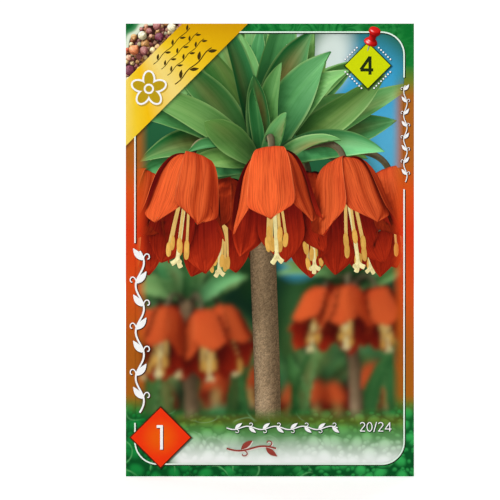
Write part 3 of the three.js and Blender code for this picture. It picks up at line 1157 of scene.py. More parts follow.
class Signs:
    """Flat shapes on one face of the card, gathered into one piece of print."""

    def __init__(self, back=False):
        self.points, self.faces, self.inks = [], [], []
        self.place = at_back if back else at_layer
        self.facing = 1.0 if back else -1.0

    def add(self, flat, layer, faces, ink):
        """Places on the card, their faces, and one ink or an ink for each place."""
        start = len(self.points)
        points = self.place(flat, layer)
        inks = np.broadcast_to(ink, (len(points), 3))
        for face in turned(points, faces, self.facing):
            self.faces.append([start + i for i in face])
            self.inks += [inks[i] for i in face]
        self.points += list(points)

    def patch(self, flat, layer, ink):
        """A grid of places on the card."""
        flat = np.asarray(flat, float)
        rows, columns = flat.shape[:2]
        ink = np.broadcast_to(ink, (rows, columns, 3)).reshape(-1, 3)
        self.add(flat.reshape(-1, 2), layer, grid_faces(rows, columns), ink)

    def stroke(self, path, width, layer, ink, shadow=None):
        """A line of one width, or of a width for each place along it. shadow is its shift and ink."""
        path = np.asarray(path, float)
        tangent = unit(np.gradient(path, axis=0))
        side = np.stack([-tangent[:, 1], tangent[:, 0]], -1)
        half = np.broadcast_to(np.asarray(width, float) / 2, len(path))[:, None]
        if shadow is not None:
            wide = half + 0.15
            under = np.stack([path - side * wide, path + side * wide], 1) + shadow[0]
            self.patch(under, layer + BEHIND, shadow[1])
        self.patch(np.stack([path - side * half, path + side * half], 1), layer, ink)

    def polygon(self, flat, layer, ink):
        self.add(flat, layer, tessellated(flat), ink)

    def disc(self, x, z, radius, layer, ink, count=32):
        self.polygon(arc(x, z, radius, radius, 0, 360 - 360 / count, count), layer, ink)

    def print_piece(self, name, material):
        piece = make_piece(name, np.array(self.points), self.faces, material)
        paint(piece, np.array(self.inks), facing=self.facing)


def turned_by(flat, degrees):
    """Places turned about the origin, counter-clockwise."""
    a = math.radians(degrees)
    return np.asarray(flat, float) @ np.array([[math.cos(a), math.sin(a)], [-math.sin(a), math.cos(a)]])


GOLD_STOPS = [
    (0.0, linear(246, 216, 100)),
    (0.1, linear(244, 204, 44)),
    (0.22, linear(246, 192, 6)),
    (0.43, linear(246, 219, 124)),
    (0.62, linear(243, 202, 36)),
    (0.8, linear(226, 176, 4)),
    (1.0, linear(208, 152, 2)),
]
FLOWER_SIGN = np.array([-58.8, 188.3])
# The sprigs along the band: the middle of each one, and its size.
GARLAND = ((-47.7, 209.1, 0.5), (-43.9, 206.7, 0.46), (-40.9, 203.7, 0.48), (-37.2, 199.4, 0.74))


def corner_strip(near, far, rows, columns):
    """A grid of places in a strip across the corner, between two cuts of the card's edges. Its rows
    run from the card's left edge to its top edge."""
    along, across = np.linspace(0, 1, rows)[:, None], np.linspace(0, 1, columns)[None, :]
    cut = near + (far - near) * across
    return np.stack([-HALF + cut * along, HEIGHT - cut * (1 - along)], -1), along, across


def make_band(material):
    """The gold band across the corner, palest near its middle, with its ornaments."""
    signs = Signs()
    flat, along, across = corner_strip(BAND_NEAR, BAND_FAR, 41, 5)
    places, colours = zip(*GOLD_STOPS)
    tone = along + 0.04 * (across - 0.5)
    ink = np.stack([np.interp(tone, places, part) for part in np.transpose(colours)], -1)
    signs.patch(flat, LAYER_BAND, ink)
    add_flower(signs)
    add_garland(signs)
    signs.print_piece("print_band", material)


def flower_petal(k, grow):
    return FLOWER_SIGN + turned_by(arc(4.6, 0, 3.6 + grow, 2.3 + grow, 0, 345, 24), 90 + 72 * k)


def add_flower(signs):
    """A small flower in outline at the band's lower end, gold on white."""
    gold, shade = linear(190, 156, 20), linear(196, 158, 48)
    for k in range(5):
        signs.polygon(flower_petal(k, 1.1) + [0.5, -0.6], LAYER_SIGN + BEHIND + 0.0012 * k, shade)
        signs.polygon(flower_petal(k, 0.9), LAYER_SIGN + 0.001 * k, WHITE)
        signs.polygon(flower_petal(k, 0.0), LAYER_SIGN - BEHIND + 0.001 * k, gold)
    signs.disc(*FLOWER_SIGN, 2.5, LAYER_SIGN - 1.2 * BEHIND, WHITE)
    signs.disc(*FLOWER_SIGN, 1.6, LAYER_SIGN - 1.4 * BEHIND, gold)


def add_garland(signs):
    """Dark leafy sprigs along the band: three thin ones and a bolder one."""
    dark = linear(66, 50, 12)
    for x, z, size in GARLAND:
        ends = np.array([x, z]) + turned_by([[-12.6, 0], [12.6, 0]], 45)
        add_vine(signs, *ends, 0.55 * size, size, dark, None, curls=False)


def diamond_grid(centre_x, centre_z, half, count=13):
    a, b = np.meshgrid(np.linspace(-0.5, 0.5, count), np.linspace(-0.5, 0.5, count))
    return np.stack([centre_x + (a - b) * half, centre_z + (a + b) * half], -1)


def make_diamonds(material):
    signs = Signs()
    x, z, half = RED_DIAMOND
    signs.patch(diamond_grid(x, z, half), LAYER_SIGN + BEHIND, linear(84, 30, 14))
    flat = diamond_grid(x, z, half - 0.75)
    off = np.linalg.norm(flat - [x, z], axis=-1) / half
    signs.patch(flat, LAYER_SIGN, blend(linear(240, 92, 6), linear(242, 52, 10), smooth(off, 0.1, 0.75)))
    x, z, half = GREEN_DIAMOND
    signs.patch(diamond_grid(x, z, half), LAYER_SIGN + BEHIND, linear(40, 62, 16))
    signs.patch(diamond_grid(x, z, half - 0.6), LAYER_SIGN, linear(206, 217, 2))
    add_beads(signs)
    signs.print_piece("print_diamonds", material)


def add_beads(signs):
    """Rows of white beads along the green diamond's sides, clear of the push pin."""
    x, z, half = GREEN_DIAMOND
    dark = linear(16, 60, 60)
    corners = np.array([(-1, 0), (0, 1), (1, 0), (0, -1)])
    for k, (a, b) in enumerate(zip(corners, np.roll(corners, -1, 0))):
        for share in np.linspace(0.16, 0.84, 8):
            if k < 2 and abs(share - (1 - k)) < 0.34:
                continue
            spot = np.array([x, z]) + half * (a * (1 - share) + b * share) + 1.7 * unit(a + b)
            signs.disc(*(spot + [0.12, -0.15]), 0.52, LAYER_SIGN + BEHIND, dark, 12)
            signs.disc(*spot, 0.42, LAYER_SIGN, WHITE, 12)


DIGIT_SPACE = 0.16  # between two digits, as a share of their height


def digit_strokes(digit):
    """A plain digit's strokes in a box one unit high, from its lower left corner, and its width."""
    foot, head = [[0.02, 0.03], [0.58, 0.03]], [[0.54, 0.97], [0.1, 0.97]]
    shapes = {
        "0": ([arc(0.31, 0.5, 0.28, 0.48, 90, 455, 40)], 0.62),
        "1": ([[[0.0, 0.95], [0.24, 0.95]], [[0.2, 1.0], [0.2, 0.0]]], 0.3),
        "2": ([np.concatenate([arc(0.28, 0.74, 0.25, 0.24, 160, -38), [[0.03, 0.03]]]), foot], 0.6),
        "3": ([arc(0.27, 0.74, 0.24, 0.23, 150, -90), arc(0.27, 0.27, 0.27, 0.25, 90, -150)], 0.58),
        "4": ([[[0.52, 0.0], [0.52, 1.0]], [[0.52, 0.97], [0.02, 0.27]], [[0.0, 0.26], [0.7, 0.26]]], 0.7),
        "5": ([head, [[0.1, 1.0], [0.06, 0.53]], arc(0.26, 0.32, 0.28, 0.3, 130, -150)], 0.58),
        "6": ([arc(0.31, 0.29, 0.27, 0.27, 0, 360, 30), arc(0.66, 0.4, 0.62, 0.6, 100, 190)], 0.62),
        "7": ([[[0.02, 0.97], [0.56, 0.97]], [[0.54, 0.97], [0.18, 0.0]]], 0.58),
        "8": ([arc(0.3, 0.74, 0.22, 0.23, 0, 360, 28), arc(0.3, 0.26, 0.27, 0.25, 0, 360, 30)], 0.6),
        "9": ([arc(0.31, 0.71, 0.27, 0.27, 0, 360, 30), arc(-0.04, 0.6, 0.62, 0.6, 10, -80)], 0.62),
        "/": ([[[0.0, -0.06], [0.3, 1.04]]], 0.32),
    }
    return shapes[digit]


def write_number(signs, digits, x, z, height, weight, ink, layer, shadow=None):
    """Plain digits from their lower left corner."""
    for digit in digits:
        strokes, width = digit_strokes(digit)
        for k, path in enumerate(strokes):
            path = np.array(path, float) * height + [x, z]
            signs.stroke(path, weight, layer - 0.0008 * k, ink, shadow)
        x += (width + DIGIT_SPACE) * height


def centre_number(signs, digits, x, z, height, weight, ink, layer):
    """Plain digits with their middle at x and z."""
    width = sum(digit_strokes(d)[1] + DIGIT_SPACE for d in digits) - DIGIT_SPACE
    write_number(signs, digits, x - width * height / 2, z - height / 2, height, weight, ink, layer)


def make_numbers(material):
    signs = Signs()
    x, z, _ = RED_DIAMOND
    shadow = (np.array([0.3, -0.3]), linear(70, 18, 8))
    write_number(signs, "1", x - 1.9, z - 5.9, 11.8, 1.35, WHITE, LAYER_NUMBER, shadow)
    x, z, _ = GREEN_DIAMOND
    write_number(signs, "4", x - 3.55, z - 4.45, 8.9, 1.5, linear(30, 44, 14), LAYER_NUMBER)
    shadow = (np.array([0.25, -0.3]), linear(22, 52, 30))
    write_number(signs, "20/24", 43.7, 21.9, 4.4, 0.46, WHITE, LAYER_NUMBER, shadow)
    signs.print_piece("print_numbers", material)


# Where the ornaments stand in the frame line's right side and in its left one.
RIGHT_GAP = (140.3, 193)
LEFT_GAP = (27, 112.6)


def make_line(material):
    """The white frame line, tinted a little by the colours beside it, with gaps for two ornaments and
    for the band."""
    signs = Signs()
    path = window_outline()
    dense = []
    for a, b in zip(path, np.roll(path, -1, 0)):
        steps = max(1, int(np.linalg.norm(b - a)))
        dense += [a + (b - a) * k / steps for k in range(steps)]
    dense = np.array(dense + dense[:1])
    x, z = dense.T
    gap = (x > LINE_SHIFT + LINE_X - 0.01) & (z > RIGHT_GAP[0]) & (z < RIGHT_GAP[1])
    gap |= (x < LINE_SHIFT - LINE_X + 0.01) & (z > LEFT_GAP[0]) & (z < LEFT_GAP[1])
    gap |= corner_distance(x, z) < BAND_FAR - 2
    shadow = (np.array([0.34, -0.34]), linear(20, 34, 16))
    by_red = smooth(z, 40, 60) * smooth(z, 175, 150)
    inks = blend(linear(230, 249, 233), linear(250, 242, 238), by_red)[:, None]
    runs = np.split(np.arange(len(dense)), np.where(np.diff(gap.astype(int)) != 0)[0] + 1)
    for run in runs:
        if not gap[run[0]] and len(run) > 1:
            signs.stroke(dense[run], LINE_WIDTH, LAYER_LINE, inks[run], shadow)
    signs.print_piece("print_line", material)


def add_vine(signs, start, end, swing, size, ink, shadow, curls=True):
    """A leafy tendril from one place to another, swinging from side to side."""
    start, end = np.asarray(start, float), np.asarray(end, float)
    length = np.linalg.norm(end - start)
    along = (end - start) / length
    across = np.array([along[1], -along[0]])
    steps = max(2, round(length / (9.4 * size)))

    def put(points):
        points = np.asarray(points, float)
        return start + points[..., :1] * across + points[..., 1:] * along

    t = np.linspace(0, length, steps * 14)
    line = np.stack([swing * np.sin(t / length * steps * math.pi), t], -1)
    signs.stroke(put(line), 0.72 * size, LAYER_SIGN, ink, shadow)
    for k in range(steps):
        side = 1 if k % 2 == 0 else -1
        root = np.array([side * swing, length * (k + 0.5) / steps])
        t = np.linspace(0, 1, 12)
        blade = root + np.stack([-side * (0.6 + 3.6 * t), 1.0 + 3.4 * t + 1.2 * t * t], -1) * size
        width = 2.3 * size * np.sin(math.pi * np.clip(t, 0.03, 0.97)) ** 0.8
        signs.stroke(put(blade), width, LAYER_SIGN - 0.004, ink, shadow)
        if curls:
            t = np.linspace(0, 1, 30)
            radius = 1.7 * (1 - 0.72 * t)
            curl = [side * (1.5 - radius * np.cos(4.6 * t)), 0.3 + 1.5 * radius * np.sin(4.6 * t) + 0.8 * t]
            curl = root + [0, 1.2 * size] + np.stack(curl, -1) * 0.9 * size
            signs.stroke(put(curl), 0.45 * size, LAYER_SIGN - 0.002, ink, shadow)


def make_vines(material):
    """Leafy tendrils in the frame line's two gaps and at the foot of the picture."""
    signs = Signs()
    shift = np.array([0.28, -0.3])
    add_vine(signs, [-63.2, 31.0], [-63.2, 109.5], 2.0, 1.22, WHITE, (shift, linear(70, 30, 14)))
    add_vine(signs, [65.8, 143.0], [65.8, 190.0], 0.8, 0.6, WHITE, (shift, linear(70, 30, 14)))
    add_vine(signs, [-21.0, 23.6], [33.0, 23.6], 0.8, 0.72, WHITE, (shift, linear(22, 60, 30)))
    pale_shadow = (shift, linear(222, 214, 204))
    add_vine(signs, [-21.0, 13.6], [3.0, 13.6], 1.1, 1.15, linear(150, 62, 52), pale_shadow)
    signs.print_piece("print_vines", material)


# ---------------------------------------------------------------- the heap of bulbs and the pin


def turned_shape(place, axis, profile, colour, sides):
    """A round shape about an axis, by its profile of (height, radius)."""
    heights, radii = np.array(profile, float).T
    path = np.asarray(place, float) + np.outer(heights, unit(axis))
    return tube(path, np.maximum(radii, 0.01), colour, sides)


HEAP_COLOURS = [
    linear(134, 72, 88),
    linear(172, 110, 104),
    linear(236, 148, 100),
    linear(246, 212, 158),
    linear(248, 232, 190),
    linear(224, 174, 116),
    linear(198, 88, 52),
    linear(230, 170, 138),
    linear(214, 160, 102),
]
HEAP_RIM = 3.0  # how far the heap runs on under the band
BULB_SHAPE = [(0, 0.2), (0.07, 0.55), (0.2, 0.86), (0.4, 1)]
BULB_SHAPE += [(0.6, 0.86), (0.8, 0.44), (0.92, 0.18), (1, 0.04)]


def heap_edge(x, z):
    """How far from the corner the heap begins: nearest to it in the middle, and uneven."""
    aside = (x + HALF) - (HEIGHT - z)
    return 8.4 + 0.022 * aside**2 + 0.9 * np.sin(0.5 * aside + 1.0)


def any_of(random, choices):
    return choices[random.integers(len(choices))]


def heap_bulbs(random):
    """The bulbs of the heap, none of them where another one already lies."""
    bulbs, taken = [], []
    t = np.linspace(0, 1, 20)
    for _ in range(1200):
        x = -HALF + random.uniform(-1.5, 30)
        z = HEIGHT - random.uniform(-1.5, 30)
        size = random.choice([1.1, 1.6, 2.2, 2.6], p=[0.14, 0.2, 0.36, 0.3])
        if not heap_edge(x, z) + 0.2 + 0.9 * size < corner_distance(x, z) < 33:
            continue
        if any(math.hypot(x - a, z - b) < 0.76 * (size + c) for a, b, c in taken):
            continue
        taken.append((x, z, size))
        axis = unit([random.normal(), -0.9 + 0.5 * random.normal(), random.normal()])
        height = 2.1 * size
        profile = np.stack([t * height, size * curve(t, BULB_SHAPE)], -1)
        tone = any_of(random, HEAP_COLOURS)
        rings = (0.86 + 0.36 * np.abs(np.sin(9 * t + random.uniform(0, 6))))[:, None, None]
        rough = 1 + 0.22 * random.normal(size=(len(t), 18, 1))
        place = np.array([x, -3.0 * size + random.uniform(-2, 2), z]) - axis * height * 0.45
        bulbs.append(turned_shape(place, axis, profile, tone * rings * rough, 18))
    return bulbs


def heap_fillers(random):
    """Small darker bulbs that fill the gaps behind the others."""
    bulbs = []
    t = np.linspace(0, 1, 20)
    profile = np.stack([t * 2.6, 1.3 * curve(t, BULB_SHAPE)], -1)
    for _ in range(260):
        x, z = -HALF + random.uniform(0, 32), HEIGHT - random.uniform(0, 32)
        if heap_edge(x, z) + 2.5 < corner_distance(x, z) < 32:
            tone = any_of(random, HEAP_COLOURS) * 0.52
            place = [x, random.uniform(2, 5), z]
            bulbs.append(turned_shape(place, random.normal(size=3), profile, tone, 10))
    return bulbs


def in_corner(quads):
    """Which faces reach into the corner that the heap fills."""
    x, z = quads[..., 0], quads[..., 2]
    inside = (corner_distance(x, z) < BAND_NEAR + HEAP_RIM).all(1)
    return inside & ((x > -HALF) & (z < HEIGHT)).any(1)


def make_heap():
    """The printed heap of mixed bulbs in the corner above the band."""
    random = np.random.default_rng(8)
    bulbs = heap_bulbs(random) + heap_fillers(random)
    tree, reach = light_sheets(bulbs, 0.1, 9.0), depth_reach(bulbs)
    depth, material = (LAYER_HEAP, LAYER_HEAP + 0.014), sign_material("print_heap")
    flat_piece("print_heap", bulbs, material, depth, reach, tree, in_corner, WHOLE_CARD)


def make_heap_ground(material):
    """What lies behind the heap: dark gaps, a pale glow along its outline, and green past that."""
    signs = Signs()
    flat, _, _ = corner_strip(0.1, BAND_NEAR + HEAP_RIM, 120, 120)
    x, z = np.moveaxis(flat, -1, 0)
    off = corner_distance(x, z) - heap_edge(x, z)
    ink = blend(linear(4, 98, 42), linear(76, 150, 96), smooth(off, -6.0, -1.6))
    ink = blend(ink, linear(224, 234, 208), smooth(off, -3.0, -0.3))
    ink = blend(ink, linear(52, 26, 20), smooth(off, 0.8, 2.0))
    signs.patch(flat, LAYER_HEAP + 0.018, ink)
    signs.print_piece("print_heap_ground", material)


PIN_TIP = np.array([47.4, 0.0, 206.7])
PIN_AXIS = unit([0.37, -0.62, 1.0])
PIN_LOW, PIN_HEIGHT = 4.2, 9.2  # where the pin's body begins above its tip, and how high it is
PIN_RADIUS = [(0, 0.3), (0.03, 2.7), (0.1, 3.35), (0.2, 3.0), (0.3, 1.9), (0.5, 1.65)]
PIN_RADIUS += [(0.66, 2.2), (0.76, 2.9), (0.9, 2.8), (0.97, 2.0), (1, 0.1)]


def make_pin():
    """The push pin that is printed over the green diamond's top corner."""
    needle = [(0, 0.12), (1.5, 0.3), (4.6, 0.38)]
    t = np.linspace(0, 1, 46)
    body = np.stack([PIN_LOW + PIN_HEIGHT * t, curve(t, PIN_RADIUS)], -1)
    pin = [
        turned_shape(PIN_TIP, PIN_AXIS, needle, linear(190, 190, 186), 10),
        turned_shape(PIN_TIP, PIN_AXIS, body, linear(204, 24, 20), 40),
    ]
    tree, reach = light_sheets(pin, 0.9, 40.0), depth_reach(pin)
    depth, material = (LAYER_PIN, LAYER_PIN + 0.01), sign_material("print_pin")
    flat_piece("print_pin", pin, material, depth, reach, tree, bounds=WHOLE_CARD)


# ---------------------------------------------------------------- the card's back

CREAM = linear(238, 236, 218)
LEAF_GREEN = linear(30, 118, 54)
SOIL = linear(140, 98, 62)
SKY_BLUE = linear(178, 216, 232)
BAR_RED = linear(222, 74, 30)
BAR_BROWN = linear(150, 104, 66)
BULB_PALE = linear(226, 196, 150)
SUN_YELLOW = linear(246, 190, 30)
INK_DARK = linear(34, 54, 36)


def make_back(material):
    """The back's print: how deep and how far apart to plant, the sun it wants, and the months."""
    signs = Signs(back=True)
    outline = rounded_outline(HALF - 5.0, 5.0, HEIGHT - 5.0, 8.0)
    rim = np.concatenate([CARD_OUTLINE, outline])
    signs.add(rim, BACK_GROUND, tessellated(CARD_OUTLINE, outline), LEAF_GREEN)
    signs.polygon(outline, BACK_GROUND, CREAM)
    signs.stroke(np.concatenate([outline, outline[:2]]), 0.9, BACK_SIGN, WHITE)
    add_planting(signs, -58.0, 8.0, 138.0, 206.0)
    add_sun(signs, 32.0, 187.0)
    add_shade_signs(signs, 32.0, 154.0)
    add_months(signs, -58.0, 58.0, 116.0, 132.0)
    signs.print_piece("print_back", material)


def add_box(signs, left, right, low, high, ink, layer=BACK_SIGN):
    signs.patch([[[left, low], [right, low]], [[left, high], [right, high]]], layer, ink)


def add_arrow(signs, start, end, ink):
    """A thin line with a head at each end."""
    start, end = np.asarray(start, float), np.asarray(end, float)
    along = unit(end - start)
    across = np.array([-along[1], along[0]])
    signs.stroke([start + along, end - along], 0.6, BACK_NUMBER, ink)
    for tip, way in ((start, along * 2.2), (end, along * -2.2)):
        signs.polygon([tip, tip + way + across * 0.9, tip + way - across * 0.9], BACK_NUMBER, ink)


def mirrored(half, heights):
    """An outline from half its width at each height."""
    return np.concatenate([np.stack([half, heights], -1), np.stack([-half, heights], -1)[::-1]])


def add_planting(signs, left, right, low, high):
    """Two bulbs in the soil and the plant that grows from one, with depth, distance and height."""
    ground, plant_x, second_x = low + 26.0, left + 18.0, left + 44.0
    add_box(signs, left, right, low, ground, SOIL, BACK_SIGN + 0.002)
    add_box(signs, left, right, ground, high, SKY_BLUE, BACK_SIGN + 0.002)
    t = np.linspace(0, 1, 26)
    outline = mirrored(5.4 * curve(t, BULB_SHAPE), t * 9.0)
    for x in (plant_x, second_x):
        signs.polygon(outline + [x, low + 7.0], BACK_SIGN, BULB_PALE)
        for k in range(5):
            root = [[x - 3 + 1.5 * k, low + 7.4], [x - 4.5 + 2.3 * k, low + 3.6]]
            signs.stroke(root, 0.4, BACK_SIGN, BULB_PALE)
    add_plant(signs, plant_x, low + 15.5, high)
    add_arrow(signs, [left + 4.0, ground], [left + 4.0, high - 3.0], INK_DARK)
    centre_number(signs, "90", left + 8.0, ground + 5.0, 4.2, 0.6, INK_DARK, BACK_NUMBER)
    add_arrow(signs, [right - 13.0, low + 7.0], [right - 13.0, ground], WHITE)
    centre_number(signs, "25", right - 6.5, low + 16.0, 4.6, 0.65, WHITE, BACK_NUMBER)
    add_arrow(signs, [plant_x, low + 2.2], [second_x, low + 2.2], WHITE)
    centre_number(signs, "30", second_x - 6.5, low + 6.0, 4.2, 0.6, WHITE, BACK_NUMBER)


def add_plant(signs, x, low, high):
    """A stem with a tuft of six leaves and three bells under it."""
    signs.stroke([[x, low], [x, high - 12.0]], 1.3, BACK_SIGN, LEAF_GREEN)
    t = np.linspace(0, 1, 16)
    blade = np.stack([0.5 * np.sin(3 * t), 12.0 * t], -1)
    width = 2.6 * np.sin(math.pi * np.clip(t, 0.03, 0.98)) ** 0.8
    for k, lean in enumerate((-66, -38, -12, 14, 40, 68)):
        path = np.array([x, high - 13.0]) + turned_by(blade, lean)
        signs.stroke(path, width, BACK_SIGN - 0.0006 * k, LEAF_GREEN)
    side = np.array([(1, 0), (3, -3), (4.2, -9), (2, -11)])
    bell = np.concatenate([side * [-1, 1], [(0, -9.4)], side[::-1]])
    for k in (-1, 0, 1):
        signs.polygon(bell + [x + 8.5 * k, high - 15.0 - 2.0 * abs(k)], BACK_SIGN - 0.005, BAR_RED)


def add_sun(signs, x, z):
    add_box(signs, x - 18, x + 26, z - 14, z + 19, WHITE, BACK_SIGN + 0.002)
    middle = np.array([x + 4, z + 2.5])
    signs.disc(*middle, 6.0, BACK_SIGN, SUN_YELLOW)
    for k in range(12):
        ray = turned_by([[7.8, 0], [12.4 if k % 2 == 0 else 10.6, 0]], 30 * k) + middle
        signs.stroke(ray, 1.1, BACK_SIGN, SUN_YELLOW)


def add_shade_signs(signs, x, z):
    """A sun half behind a cloud, and a drop of water."""
    add_box(signs, x - 18, x + 26, z - 16, z + 13, WHITE, BACK_SIGN + 0.002)
    signs.disc(x - 8, z + 2.5, 5.0, BACK_SIGN, SUN_YELLOW)
    for k, (a, b, r) in enumerate(((-8, -3, 4.2), (-2, -1, 5.0), (4, -3.4, 3.8))):
        signs.disc(x + a, z + b, r, BACK_SIGN - 0.003 - 0.001 * k, linear(170, 186, 190))
    t = np.linspace(0, 1, 30)
    half = 5.0 * np.sin(math.pi * t**0.7) ** 0.9 * (1 - 0.25 * t)
    # Both ends are points that lie on the middle line, so the second side leaves them out.
    drop = np.concatenate([np.stack([half, 15 * t - 9], -1), np.stack([-half, 15 * t - 9], -1)[-2:0:-1]])
    signs.polygon(drop + [x + 17, z], BACK_SIGN, linear(70, 150, 200))


def add_months(signs, left, right, low, high):
    """Twelve boxes for the months: brown where to plant and red where it flowers."""
    width = (right - left) / 12
    for k in range(12):
        x = left + width * k
        add_box(signs, x + 0.3, x + width - 0.3, low, high, WHITE, BACK_SIGN + 0.002)
        centre_number(signs, str(k + 1), x + width / 2, high - 4.0, 4.0, 0.55, INK_DARK, BACK_NUMBER)
        bar = BAR_RED if k in (3, 4) else BAR_BROWN if k in (8, 9, 10) else None
        if bar is not None:
            add_box(signs, x + 0.3, x + width - 0.3, low + 1.5, low + 6.0, bar)


def make_print():
    make_picture()
    make_border()
    material = sign_material("print_sign")
    for make in (make_band, make_diamonds, make_numbers, make_line, make_vines, make_heap_ground):
        make(material)
    make_heap()
    make_pin()
    make_back(material)


# ---------------------------------------------------------------- the card itself


def make_stock():
    """The card under its print: a slab, sunk at the front where the picture's ink lies."""
    material, g, shader = new_material("card_stock")
    fibres = g.noise(g.vector("MULTIPLY", g.place(), (1.0, 6.0, 1.0)), 1.4, 4.0, 0.6)
    pulp = g.mix(fibres, (0.80, 0.79, 0.76), (0.90, 0.90, 0.88))
    g.fill(shader, {"Base Color": pulp, "Roughness": 0.6})
    wide = MARGIN + 0.1
    inner = rounded_outline(LINE_X + wide, LINE_LOW - wide, LINE_HIGH + wide, LINE_CORNER + wide)
    count = len(inner)
    rim = LAYER_BORDER + BEHIND
    behind = BACK - BACK_STOCK - FRONT
    layers = ((CARD_OUTLINE, rim), (inner, rim), (inner, LAYER_STOCK), (CARD_OUTLINE, behind))
    points = np.concatenate([at_layer(flat, layer) for flat, layer in layers])
    faces = turned(points, tessellated(CARD_OUTLINE, inner))
    floor, back = 4 + count, 4 + 2 * count
    faces.append([floor + k for k in range(count)])
    for k in range(count):
        nxt = (k + 1) % count
        faces.append([4 + k, 4 + nxt, floor + nxt, floor + k])
    for k in range(4):
        nxt = (k + 1) % 4
        faces.append([k, back + k, back + nxt, nxt])
    faces.append([back + k for k in (3, 2, 1, 0)])
    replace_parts(make_piece("card_stock", points, faces, material), "picture_card")


# ---------------------------------------------------------------- the film pouch

SEAL_OUTER = 4.0
SEAL_INNER = 10.0
SEAL_CORNER = 7.0
SEAL_ARC = 9  # points on each of its round corners
SEAL_STEPS = (136, 76)  # on each of its long sides, and on each short one
SEAL_RIBS = 6
SEAL_Y = BACK + 0.16
FILM_ROWS = 120
FILM_RAYS = 420
FILM_FOLDS = 46
FILM_HALF = 0.3  # half the CAD film's thickness, from its inner face to its middle
BULB_GAP = 0.45  # the least that is left between a fold and the bulb
POUCH_MIDDLE = np.array([0.0, 0.0, 34.0])
VENT_RADIUS = 3.0
DOME_Y = BACK + 1.5  # the film bulges out past here
VENTS = [(0, 132), (0, 172)]
VENTS += [(side * x, z) for x, z in ((30, 112), (30, 152), (50, 26), (50, 78)) for side in (-1, 1)]


def seal_loop(inset):
    """Points round a rounded rectangle in from the card's edges: equally many on like parts of
    any two of them."""
    outline = rounded_outline(HALF - inset, inset, HEIGHT - inset, SEAL_CORNER, SEAL_ARC)
    points = []
    for k, (a, b) in enumerate(zip(outline, np.roll(outline, -1, 0))):
        side, place = divmod(k, SEAL_ARC)
        steps = SEAL_STEPS[side % 2] if place == SEAL_ARC - 1 else 1
        points += [a + (b - a) * j / steps for j in range(steps)]
    return np.array(points)


def film_material():
    """Clear film: it lets most light through, and more of it glints where it slants away."""
    material, g, shader = new_material("film")
    place = g.place()
    x, _, z = g.split(place)
    # Folds that run out from the bulb to the seal, and small dents between them.
    up = g.minus(z, float(POUCH_MIDDLE[2]))
    away = g.math("SQRT", g.times_plus(x, x, g.times_plus(up, up, 1.0)))
    inputs = {"X": g.math("DIVIDE", x, away), "Y": g.math("DIVIDE", up, away), "Z": g.times(away, 0.0012)}
    round_bulb = g.node("ShaderNodeCombineXYZ", inputs).outputs[0]
    folds = g.times_plus(g.noise(round_bulb, 11.0, 3.0, 0.6), 2.0, -1.0)
    folds = g.step(g.size(folds), 0.16, 0.0)
    dents = g.noise(place, 0.16, 3.0, 0.55, 1.4)
    inputs = {
        "Base Color": g.mix(dents, (0.9, 0.92, 0.94), (1.0, 1.0, 1.0)),
        "Metallic": 1.0,
        "Roughness": 0.14,
        "Normal": g.bump(g.times_plus(folds, 0.5, dents), 0.45, 0.0014),
    }
    g.fill(shader, inputs)
    # Painted shade: what shows through the film is darkened along its folds, which are only a bump pattern,
    # not real geometry.
    tint = g.mix(g.times(folds, 0.3), (0.99, 0.99, 0.99), (0.5, 0.53, 0.54))
    clear = g.node("ShaderNodeBsdfTransparent", {"Color": tint})
    facing = g.node("ShaderNodeLayerWeight", {"Blend": 0.5}).outputs["Facing"]
    slant = g.times_plus(g.math("POWER", facing, 4.0), 0.8, 0.06)
    ridge = g.times(g.step(dents, 0.52, 0.68), g.times_plus(folds, 0.2, 0.03))
    share = g.math("ADD", g.plus(slant, g.carried("veil", "Fac")), ridge, clamp=True)
    mixed = g.node("ShaderNodeMixShader", {0: share, 1: clear.outputs[0], 2: shader.outputs[0]})
    output = next(n for n in material.node_tree.nodes if n.type == "OUTPUT_MATERIAL")
    g.feed(output.inputs["Surface"], mixed.outputs[0])
    return material


def meridian(edge, tree):
    """The film's path from the seal's inner edge at a place to the top of the bulge, by rays from
    inside the pouch. Where rays pass through a vent, the path runs straight on."""
    start = np.array([edge[0], SEAL_Y, edge[1]])
    low = unit(start + [0, 0.7, 0] - POUCH_MIDDLE)
    high = np.array([0.0, 1.0, 0.0])
    turn = math.acos(low @ high)
    shares = np.linspace(0, 1, FILM_RAYS) ** 1.6
    rays = np.sin((1 - shares) * turn)[:, None] * low + np.sin(shares * turn)[:, None] * high
    rays /= math.sin(turn)
    points, places = [start], [0]
    for k, ray in enumerate(rays):
        hit = tree.ray_cast(POUCH_MIDDLE.tolist(), ray.tolist())[0]
        if hit is not None:
            points.append(np.array(hit) + ray * FILM_HALF)
            places.append(k + 1)
    points = np.array(points)
    whole = np.stack([np.interp(np.arange(FILM_RAYS + 1), places, points[:, k]) for k in range(3)], -1)
    length = path_lengths(whole)
    even = np.linspace(0, length[-1], FILM_ROWS)
    return np.stack([np.interp(even, length, whole[:, k]) for k in range(3)], -1)


